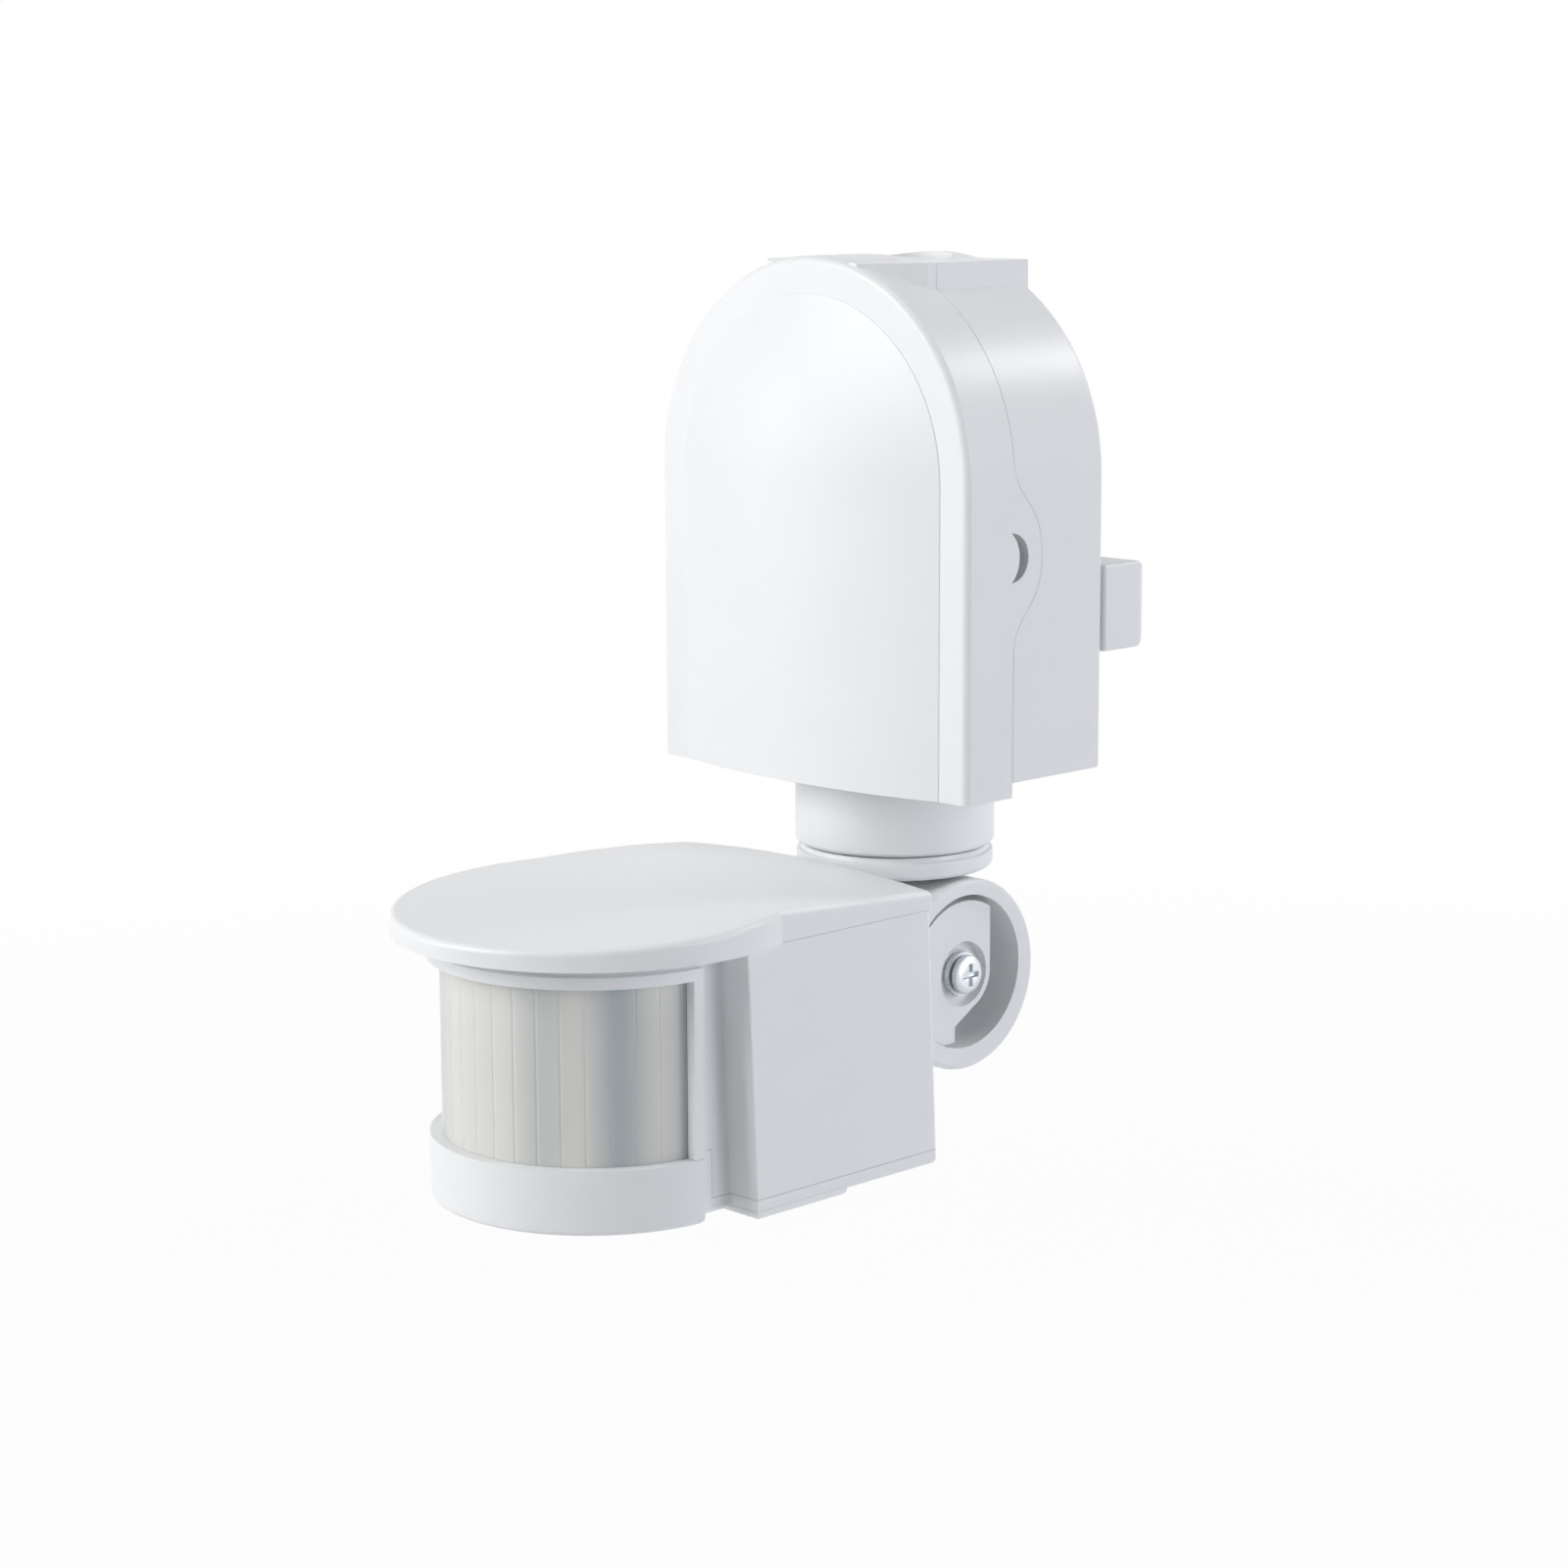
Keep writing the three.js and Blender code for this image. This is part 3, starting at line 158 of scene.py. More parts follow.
# ------------------------------------------------------------------------------- modelling
class Plane(Enum):
    """The three planes that outlines are drawn in."""

    PLAN = "plan"
    FRONT = "front"
    SIDE = "side"

    def place(self, flat: Flat, level: float) -> Point:
        """Puts a flat point into space.

        Args:
            flat: Two coordinates: x and y in plan, x and z from the front, y and z from the side.
            level: The third coordinate.

        Returns:
            The point in space.
        """
        u, v = flat
        if self is Plane.PLAN:
            return (u, v, level)
        if self is Plane.FRONT:
            return (u, level, v)
        return (level, u, v)

    @property
    def axis(self) -> Vector:
        """Axis that a counter-clockwise arc of the flat coordinates turns about."""
        axes = {Plane.PLAN: (0, 0, 1), Plane.FRONT: (0, -1, 0), Plane.SIDE: (1, 0, 0)}
        return Vector(axes[self])

    @property
    def turn(self) -> Point:
        """Rotation that stands an upright bar square to the plane."""
        quarter = math.pi / 2
        turns = {Plane.PLAN: (0, 0, 0), Plane.FRONT: (quarter, 0, 0), Plane.SIDE: (0, quarter, 0)}
        return turns[self]


class Axis(Enum):
    """The axes of space, each by the number of its coordinate."""

    X = 0
    Y = 1
    Z = 2

    def level(self, height: float) -> EdgeTest:
        """Makes a test for edges that lie at one height along this axis."""
        n = self.value
        return lambda a, b: max(abs(a[n] - height), abs(b[n] - height)) < NEAR


class Join(Enum):
    """The ways in which two closed solids are combined."""

    ADD = "UNION"
    CUT = "DIFFERENCE"
    KEEP_COMMON = "INTERSECT"


class Pick(Enum):
    """What a test looks at: the mode of selection, and the parts of the mesh."""

    VERTICES = ("VERT", "verts")
    EDGES = ("VERT", "edges")
    FACES = ("FACE", "faces")

    def where(self, obj: bpy.types.Object, test: Callable[..., bool]) -> None:
        """Selects the parts that pass a test, and no others.

        Args:
            obj: The object, which is open in edit mode.
            test: Test of a vertex, an edge or a face.
        """
        mode, kind = self.value
        bpy.ops.mesh.select_mode(type=mode)
        bpy.ops.mesh.select_all(action="DESELECT")
        mesh = bmesh.from_edit_mesh(obj.data)
        for part in getattr(mesh, kind):
            if test(part):
                part.select_set(True)
        bmesh.update_edit_mesh(obj.data)


def drop_selection() -> None:
    """Deselects every object, so that an operator reaches only what is added next."""
    bpy.ops.object.select_all(action="DESELECT")


def select_only(obj: bpy.types.Object) -> None:
    """Makes one object the active one, and the only one that is selected.

    Args:
        obj: The object.
    """
    drop_selection()
    obj.select_set(True)
    bpy.context.view_layer.objects.active = obj


@contextmanager
def editing(obj: bpy.types.Object) -> Iterator[None]:
    """Opens one object in edit mode with everything selected, and closes it again.

    Args:
        obj: The mesh object to open.

    Yields:
        Nothing; the object is open inside the block.
    """
    select_only(obj)
    bpy.ops.object.mode_set(mode="EDIT")
    bpy.ops.mesh.select_mode(type="VERT")
    bpy.ops.mesh.select_all(action="SELECT")
    yield
    bpy.ops.object.mode_set(mode="OBJECT")


class Piece:
    """One closed solid under the tools. Every length that it takes is in millimetres."""

    def __init__(self, obj: bpy.types.Object) -> None:
        """Takes over a mesh object.

        Args:
            obj: The object to shape.
        """
        self.obj = obj

    @classmethod
    def started(cls) -> Piece:
        """Takes over the primitive that was just added, with its place put into its mesh."""
        bpy.ops.object.transform_apply(location=True, rotation=True, scale=True)
        return cls(bpy.context.active_object)

    @classmethod
    def block(cls, low: Point, high: Point) -> Piece:
        """Adds a block between two corners.

        Args:
            low: Lowest corner.
            high: Highest corner.

        Returns:
            The block.
        """
        drop_selection()
        middle = metres([(a + b) / 2 for a, b in zip(low, high)])
        size = metres([b - a for a, b in zip(low, high)])
        bpy.ops.mesh.primitive_cube_add(size=1, location=middle, scale=size)
        return cls.started()

    @classmethod
    def rod(cls, plane: Plane, radius: float, span: Flat, centre: Flat, sides: int = 96) -> Piece:
        """Adds a round bar that stands square to a plane.

        Args:
            plane: The plane that the bar stands on.
            radius: Its radius.
            span: Its two ends along the plane's third coordinate.
            centre: Its centre in the plane.
            sides: Number of facets round it.

        Returns:
            The bar.
        """
        drop_selection()
        low, high = sorted(span)
        bpy.ops.mesh.primitive_cylinder_add(
            vertices=sides,
            radius=radius * MM,
            depth=(high - low) * MM,
            location=metres(plane.place(centre, (low + high) / 2)),
            rotation=plane.turn,
        )
        return cls.started()

    def copied(self) -> Piece:
        """Copies the piece with a mesh of its own."""
        select_only(self.obj)
        bpy.ops.object.duplicate(linked=False)
        return Piece(bpy.context.active_object)

    def moved(self, offset: Point) -> Piece:
        """Moves the whole mesh.

        Args:
            offset: How far along X, Y and Z.

        Returns:
            The piece itself.
        """
        with editing(self.obj):
            bpy.ops.transform.translate(value=metres(offset))
        return self

    def turned_round(self, degrees: float, axis: Axis, centre: Point = (0, 0, 0)) -> Piece:
        """Turns the whole mesh, counter-clockwise about an axis through a centre.

        Args:
            degrees: How far.
            axis: Direction of the axis.
            centre: A point on the axis.

        Returns:
            The piece itself.
        """
        with editing(self.obj):
            bpy.ops.transform.rotate(
                value=-math.radians(degrees), orient_axis=axis.name, center_override=metres(centre)
            )
        return self

    def combined(self, how: Join, *others: Piece) -> Piece:
        """Combines the piece with others, which are used up.

        Args:
            how: Add them, cut them away or keep what is common.
            *others: The other solids.

        Returns:
            The piece itself.
        """
        for other in others:
            modifier = self.obj.modifiers.new(how.name.lower(), "BOOLEAN")
            modifier.operation = how.value
            modifier.solver = "EXACT"
            modifier.object = other.obj
            self.applied(modifier)
            bpy.data.objects.remove(other.obj)
        return self

    def add(self, *others: Piece) -> Piece:
        """Joins other solids to the piece."""
        return self.combined(Join.ADD, *others)

    def cut(self, *others: Piece) -> Piece:
        """Cuts other solids out of the piece."""
        return self.combined(Join.CUT, *others)

    def applied(self, modifier: bpy.types.Modifier) -> None:
        """Applies a modifier of this piece.

        Args:
            modifier: The modifier.
        """
        select_only(self.obj)
        bpy.ops.object.modifier_apply(modifier=modifier.name)

    def edges_rounded(self, radius: float, where: EdgeTest, segments: int = 4) -> Piece:
        """Rounds the edges whose two ends pass a test.

        Args:
            radius: Width of the rounding.
            where: Test of an edge's ends, in millimetres.
            segments: Facets across the rounding.

        Returns:
            The piece itself.
        """

        def chosen(edge: bmesh.types.BMEdge) -> bool:
            """Tells whether an edge is sharp and its ends pass the test."""
            a, b = (vertex.co / MM for vertex in edge.verts)
            return edge.calc_face_angle(0) > math.radians(CREASE) and where(a, b)

        with editing(self.obj):
            Pick.EDGES.where(self.obj, chosen)
            bpy.ops.mesh.bevel(
                offset=radius * MM, segments=segments, affect="EDGES", clamp_overlap=False
            )
        return self

    def cleaned(self) -> Piece:
        """Merges doubled vertices and turns every face outwards."""
        with editing(self.obj):
            bpy.ops.mesh.remove_doubles(threshold=DOUBLE * MM)
            bpy.ops.mesh.normals_make_consistent(inside=False)
        return self

    def softened(self, radius: float, segments: int = 2) -> Piece:
        """Rounds every sharp edge, as a mould leaves it.

        Args:
            radius: Width of the rounding.
            segments: Facets across it.

        Returns:
            The piece itself.
        """
        modifier = self.obj.modifiers.new("soft_edges", "BEVEL")
        modifier.width = radius * MM
        modifier.segments = segments
        modifier.limit_method = "ANGLE"
        modifier.angle_limit = math.radians(SHARP)
        modifier.use_clamp_overlap = False
        modifier.miter_outer = "MITER_ARC"
        self.applied(modifier)
        return self

    def shaded(self) -> Piece:
        """Shades the piece smooth between facets and keeps its flats flat."""
        select_only(self.obj)
        bpy.ops.object.shade_smooth_by_angle(angle=math.radians(CRISP))
        modifier = self.obj.modifiers.new("flat_faces", "WEIGHTED_NORMAL")
        modifier.keep_sharp = True
        modifier.weight = 80
        self.applied(modifier)
        return self

    def finished(self, radius: float, segments: int = 2) -> Piece:
        """Cleans, softens and shades the piece, which is then done."""
        return self.cleaned().softened(radius, segments).shaded()


class Pen:
    """Draws an outline by extruding and spinning one vertex, then makes a solid of it."""

    def __init__(self, plane: Plane, level: float, start: Flat) -> None:
        """Puts the first vertex down.

        Args:
            plane: Plane of the outline.
            level: The plane's third coordinate.
            start: First point of the outline.
        """
        self.plane = plane
        self.level = level
        self.at = start
        drop_selection()
        bpy.ops.mesh.primitive_plane_add(size=MM, location=metres(plane.place(start, level)))
        bpy.ops.object.transform_apply(location=True, rotation=True, scale=True)
        self.obj = bpy.context.active_object
        bpy.ops.object.mode_set(mode="EDIT")
        bpy.ops.mesh.select_mode(type="VERT")
        bpy.ops.mesh.select_all(action="SELECT")
        bpy.ops.mesh.merge(type="CENTER")

    def line(self, *points: Flat) -> Pen:
        """Draws straight lines.

        Args:
            *points: The next corners.

        Returns:
            The pen itself.
        """
        for point in points:
            before = Vector(self.plane.place(self.at, self.level))
            step = Vector(self.plane.place(point, self.level)) - before
            bpy.ops.mesh.extrude_region_move(TRANSFORM_OT_translate={"value": step * MM})
            self.at = point
        return self

    def arc(self, centre: Flat, degrees: float, steps: int = 8) -> Pen:
        """Draws an arc, counter-clockwise where the angle is positive.

        Args:
            centre: Centre of the arc.
            degrees: Angle that it turns through.
            steps: Number of facets.

        Returns:
            The pen itself.
        """
        turn = math.radians(abs(degrees))
        sense = -1 if degrees > 0 else 1
        bpy.ops.mesh.spin(
            steps=steps,
            angle=turn,
            center=metres(self.plane.place(centre, self.level)),
            axis=self.plane.axis * sense,
        )
        u, v = self.at[0] - centre[0], self.at[1] - centre[1]
        cosine, sine = math.cos(-sense * turn), math.sin(-sense * turn)
        self.at = (centre[0] + u * cosine - v * sine, centre[1] + u * sine + v * cosine)
        return self

    def curve(self, handle_a: Flat, handle_b: Flat, end: Flat, steps: int = 10) -> Pen:
        """Draws a cubic curve.

        Args:
            handle_a: Handle of the start.
            handle_b: Handle of the end.
            end: End of the curve.
            steps: Number of facets.

        Returns:
            The pen itself.
        """
        corners = (self.at, handle_a, handle_b, end)
        for step in range(1, steps + 1):
            t = step / steps
            weights = ((1 - t) ** 3, 3 * t * (1 - t) ** 2, 3 * t * t * (1 - t), t**3)
            self.line(
                (
                    sum(w * c[0] for w, c in zip(weights, corners)),
                    sum(w * c[1] for w, c in zip(weights, corners)),
                )
            )
        return self

    def merged(self) -> None:
        """Merges the doubled vertices of the drawing, and leaves all of it selected."""
        bpy.ops.mesh.select_all(action="SELECT")
        bpy.ops.mesh.remove_doubles(threshold=DOUBLE * MM)
        bpy.ops.mesh.select_all(action="SELECT")

    def filled(self) -> None:
        """Closes the outline and fills it, and leaves it open in edit mode."""
        self.merged()
        bpy.ops.mesh.edge_face_add()

    def lifted(self) -> Piece:
        """Turns every face outwards and leaves edit mode."""
        bpy.ops.mesh.select_all(action="SELECT")
        bpy.ops.mesh.normals_make_consistent(inside=False)
        bpy.ops.object.mode_set(mode="OBJECT")
        return Piece(self.obj)

    def pulled(self, offset: Point) -> Piece:
        """Fills the outline and extrudes it.

        Args:
            offset: How far the far end lies from the outline.

        Returns:
            The solid.
        """
        self.filled()
        bpy.ops.mesh.extrude_region_move(TRANSFORM_OT_translate={"value": metres(offset)})
        return self.lifted()

    def spun(self, centre: Point, axis: Point, steps: int = 96) -> Piece:
        """Turns the outline once round an axis.

        Args:
            centre: A point on the axis.
            axis: Direction of the axis.
            steps: Facets round the turn.

        Returns:
            The solid.
        """
        self.merged()
        bpy.ops.mesh.spin(
            steps=steps, angle=math.radians(360), center=metres(centre), axis=Vector(axis)
        )
        self.merged()
        return self.lifted()


def ring_profile(axis_at: Flat, points: Sequence[Flat]) -> Pen:
    """Draws a half section beside an upright axis.

    Args:
        axis_at: x and y of the axis.
        points: Section as radius and height; a closed ring repeats its first point.

    Returns:
        The pen, ready to be spun about that axis.
    """
    x, y = axis_at
    pen = Pen(Plane.FRONT, y, (x + points[0][0], points[0][1]))
    return pen.line(*[(x + radius, height) for radius, height in points[1:]])


# ------------------------------------------------------------------------------- finishes
def linear(hexadecimal: str) -> tuple[float, float, float, float]:
    """Turns an sRGB colour into the linear one that shaders take.

    Args:
        hexadecimal: Six hexadecimal digits.

    Returns:
        Linear red, green and blue, and an alpha of one.
    """
    values = [int(hexadecimal[i : i + 2], 16) / 255 for i in (0, 2, 4)]
    red, green, blue = [
        v / 12.92 if v <= 0.04045 else ((v + 0.055) / 1.055) ** 2.4 for v in values
    ]
    return (red, green, blue, 1.0)


def add_node(tree: Tree, kind: str, settings: dict, links: dict) -> bpy.types.Node:
    """Adds one node to a tree.

    Args:
        tree: The node tree.
        kind: Type of the node.
        settings: Properties by name, and values of input sockets by name or number.
        links: Sources to plug in, by input name or number.

    Returns:
        The node.
    """
    node = tree.nodes.new(kind)
    for key, value in settings.items():
        if isinstance(key, str) and hasattr(node, key):
            setattr(node, key, value)
        else:
            node.inputs[key].default_value = value
    for key, source in links.items():
        output = source.outputs[0] if isinstance(source, bpy.types.Node) else source
        tree.links.new(output, node.inputs[key])
    return node


@dataclass(frozen=True)
class Finish:
    """What every finish has: a name, a colour and how its surface scatters light."""

    name: str
    colour: str
    roughness: float
    metallic: float = 0.0
    ior: float = 1.5
    grain: float = 0.35  # size of the surface's grain, in millimetres
    grain_depth: float = 0.01  # how deep that grain is, in millimetres
    mottle: float = 0.02  # share by which the colour drifts from place to place
    mottle_size: float = 14.0  # size of that drift, in millimetres
    polish: float = 0.04  # how far the roughness drifts to each side

    def material(self) -> bpy.types.Material:
        """Builds the material, or finds it if it was built before.

        Returns:
            The material.
        """
        made = bpy.data.materials.get(self.name)
        if made is None:
            made = bpy.data.materials.new(self.name)
            made.use_nodes = True
            made.node_tree.nodes.clear()
            self.wire(made.node_tree)
        return made

    def wire(self, tree: Tree) -> None:
        """Wires the nodes of the finish.

        Args:
            tree: An empty node tree.
        """
        place = add_node(tree, "ShaderNodeTexCoord", {}, {}).outputs["Object"]
        slow = {"Scale": 1 / (self.mottle_size * MM), "Detail": 3, "Roughness": 0.5}
        drift = add_node(tree, "ShaderNodeTexNoise", slow, {"Vector": place}).outputs["Fac"]
        colour = self.colour_nodes(tree, place, drift)
        bump = self.bump_nodes(tree, place)
        span = {"To Min": self.roughness - self.polish, "To Max": self.roughness + self.polish}
        rough = add_node(tree, "ShaderNodeMapRange", span, {"Value": drift})
        settings = {"IOR": self.ior, "Metallic": self.metallic, **self.extra()}
        links = {"Base Color": colour, "Roughness": rough, "Normal": bump}
        shader = add_node(tree, "ShaderNodeBsdfPrincipled", settings, links)
        add_node(tree, "ShaderNodeOutputMaterial", {}, {"Surface": shader})

    def extra(self) -> dict:
        """Further constants of the shader."""
        return {}

    def colour_nodes(self, tree: Tree, place: Socket, drift: Socket) -> Socket:
        """Wires the colour, which drifts a little.

        Args:
            tree: The node tree.
            place: Socket of the coordinates; not used.
            drift: Socket of the slow noise.

        Returns:
            Socket of the colour.
        """
        base = linear(self.colour)
        deep = tuple(value * (1 - self.mottle) for value in base[:3]) + (1.0,)
        pale = tuple(min(value * (1 + self.mottle), 1.0) for value in base[:3]) + (1.0,)
        settings = {"data_type": "RGBA", 6: deep, 7: pale}
        return add_node(tree, "ShaderNodeMix", settings, {0: drift}).outputs[2]

    def bump_nodes(self, tree: Tree, place: Socket) -> Socket:
        """Wires the grain of the surface.

        Args:
            tree: The node tree.
            place: Socket of the coordinates.

        Returns:
            Socket of the bent normal.
        """
        fine = {"Scale": 1 / (self.grain * MM), "Detail": 2, "Roughness": 0.5}
        grain = add_node(tree, "ShaderNodeTexNoise", fine, {"Vector": place}).outputs["Fac"]
        settings = {"Strength": 1.0, "Distance": self.grain_depth * MM}
        return add_node(tree, "ShaderNodeBump", settings, {"Height": grain}).outputs["Normal"]


@dataclass(frozen=True)
class Plastic(Finish):
    """Moulded plastic: the light enters it a little, so its shadows stay soft."""

    glow: float = 0.0  # share of light that scatters inside
    glow_depth: float = 1.2  # how far it travels, in millimetres

    def extra(self) -> dict:
        """Scattering under the surface."""
        if not self.glow:
            return {}
        return {
            "Subsurface Weight": self.glow,
            "Subsurface Radius": (1.0, 0.9, 0.8),
            "Subsurface Scale": self.glow_depth * MM,
        }


@dataclass(frozen=True)
class Metal(Finish):
    """Plated metal with fine drawn lines along one axis."""

    stretch: tuple[float, float, float] = (1.0, 1.0, 1.0)

    def bump_nodes(self, tree: Tree, place: Socket) -> Socket:
        """Wires the drawn lines: a grain that is stretched along the line.

        Args:
            tree: The node tree.
            place: Socket of the coordinates.

        Returns:
            Socket of the bent normal.
        """
        drawn = add_node(tree, "ShaderNodeMapping", {"Scale": self.stretch}, {"Vector": place})
        return super().bump_nodes(tree, drawn.outputs["Vector"])


@dataclass(frozen=True)
class Board(Finish):
    """Circuit board: green solder mask over copper tracks, which show as paler lines."""

    track: str = "3E8055"  # colour over the copper
    pitch: float = 2.54  # of the parts' legs, in millimetres
    track_edge: Flat = (0.36, 0.4)  # where in a cell the track begins and is full

    def colour_nodes(self, tree: Tree, place: Socket, drift: Socket) -> Socket:
        """Wires the tracks: right-angled cells at the pitch of the parts' legs.

        Args:
            tree: The node tree.
            place: Socket of the coordinates.
            drift: Socket of the slow noise; not used.

        Returns:
            Socket of the colour.
        """
        pattern = {"distance": "CHEBYCHEV", "feature": "F1", "Scale": 1 / (2 * self.pitch * MM)}
        cells = add_node(tree, "ShaderNodeTexVoronoi", pattern, {"Vector": place})
        span = {"From Min": self.track_edge[0], "From Max": self.track_edge[1]}
        lines = add_node(tree, "ShaderNodeMapRange", span, {"Value": cells.outputs["Distance"]})
        settings = {"data_type": "RGBA", 6: linear(self.colour), 7: linear(self.track)}
        return add_node(tree, "ShaderNodeMix", settings, {0: lines}).outputs[2]


@dataclass(frozen=True)
class LensSheet(Finish):
    """Milky lens sheet: upright facets side by side, cooler at the zones' seams, where painted
    shade deepens towards the lens's ends.
    """

    axis_x: float = 0.0  # centre of the round lens, in millimetres
    axis_y: float = 0.0
    facet: float = 9.0  # angle of a facet, in degrees
    seam_tone_and_shade: str = "B4BCBF"  # tone at the seams between the lens zones: partly the facets' own tone, partly painted shade
    zone: float = 30.0  # angle of a lens zone, in degrees
    zone_middle: float = 12.0  # angle from straight ahead to the middle of a zone
    full_shade_angle: float = 55.0  # angle from straight ahead at which the painted shade of the seams is deepest
    crest: float = 0.09  # share of a facet that its rounded edge takes up

    def extra(self) -> dict:
        """A thin sheet scatters the light behind it."""
        return {
            "Subsurface Weight": 0.3,
            "Subsurface Radius": (1.0, 1.0, 0.9),
            "Subsurface Scale": 1.2 * MM,
        }

    def turn(self, tree: Tree, place: Socket) -> bpy.types.Node:
        """Wires the number of the facet, counted round the lens.

        Args:
            tree: The node tree.
            place: Socket of the coordinates.

        Returns:
            Node of the angle, in facets.
        """
        axis = {"operation": "SUBTRACT", 1: (self.axis_x * MM, self.axis_y * MM, 0)}
        centred = add_node(tree, "ShaderNodeVectorMath", axis, {0: place})
        parts = add_node(tree, "ShaderNodeSeparateXYZ", {}, {0: centred})
        ahead = {"operation": "MULTIPLY", 1: -1.0}
        front = add_node(tree, "ShaderNodeMath", ahead, {0: parts.outputs["Y"]})
        links = {0: parts.outputs["X"], 1: front}
        angle = add_node(tree, "ShaderNodeMath", {"operation": "ARCTAN2"}, links)
        per_radian = {"operation": "MULTIPLY", 1: 180 / math.pi / self.facet}
        return add_node(tree, "ShaderNodeMath", per_radian, {0: angle})

    def colour_nodes(self, tree: Tree, place: Socket, drift: Socket) -> Socket:
        """Wires the lens zones, milky in the middle and cool at their seams, alike on both sides;
        the seams carry painted shade that deepens away from straight ahead.

        Args:
            tree: The node tree.
            place: Socket of the coordinates.
            drift: Socket of the slow noise; not used.

        Returns:
            Socket of the colour.
        """
        half = self.zone / 2 / self.facet
        absolute = {"operation": "ABSOLUTE"}
        aside = add_node(tree, "ShaderNodeMath", absolute, {0: self.turn(tree, place)})
        shift = {"operation": "ADD", 1: (self.zone - self.zone_middle) / self.facet}
        along = add_node(tree, "ShaderNodeMath", shift, {0: aside})
        there_and_back = {"operation": "PINGPONG", 1: half}
        off_middle = add_node(tree, "ShaderNodeMath", there_and_back, {0: along})
        smooth = {"interpolation_type": "SMOOTHSTEP", "From Min": 0.0, "From Max": half}
        seam = add_node(tree, "ShaderNodeMapRange", smooth, {"Value": off_middle})
        # Painted shade: the seams darken more the further they lie from straight ahead, most of all
        # at the lens's ends beside the posts.
        seam_shade_growth = {"From Min": 0.0, "From Max": self.full_shade_angle / self.facet}
        depth = add_node(tree, "ShaderNodeMapRange", seam_shade_growth, {"Value": aside})
        share = add_node(tree, "ShaderNodeMath", {"operation": "MULTIPLY"}, {0: seam, 1: depth})
        settings = {"data_type": "RGBA", 6: linear(self.colour), 7: linear(self.seam_tone_and_shade)}
        return add_node(tree, "ShaderNodeMix", settings, {0: share}).outputs[2]

    def bump_nodes(self, tree: Tree, place: Socket) -> Socket:
        """Wires the facets' edges as fine upright lines.

        Args:
            tree: The node tree.
            place: Socket of the coordinates.

        Returns:
            Socket of the bent normal.
        """
        halves = {"operation": "PINGPONG", 1: 0.5}
        share = add_node(tree, "ShaderNodeMath", halves, {0: self.turn(tree, place)})
        smooth = {"interpolation_type": "SMOOTHSTEP", "From Min": 0.0, "From Max": self.crest}
        edge = add_node(tree, "ShaderNodeMapRange", smooth, {"Value": share})
        settings = {"Strength": 0.6, "Distance": self.grain_depth * MM}
        return add_node(tree, "ShaderNodeBump", settings, {"Height": edge}).outputs["Normal"]


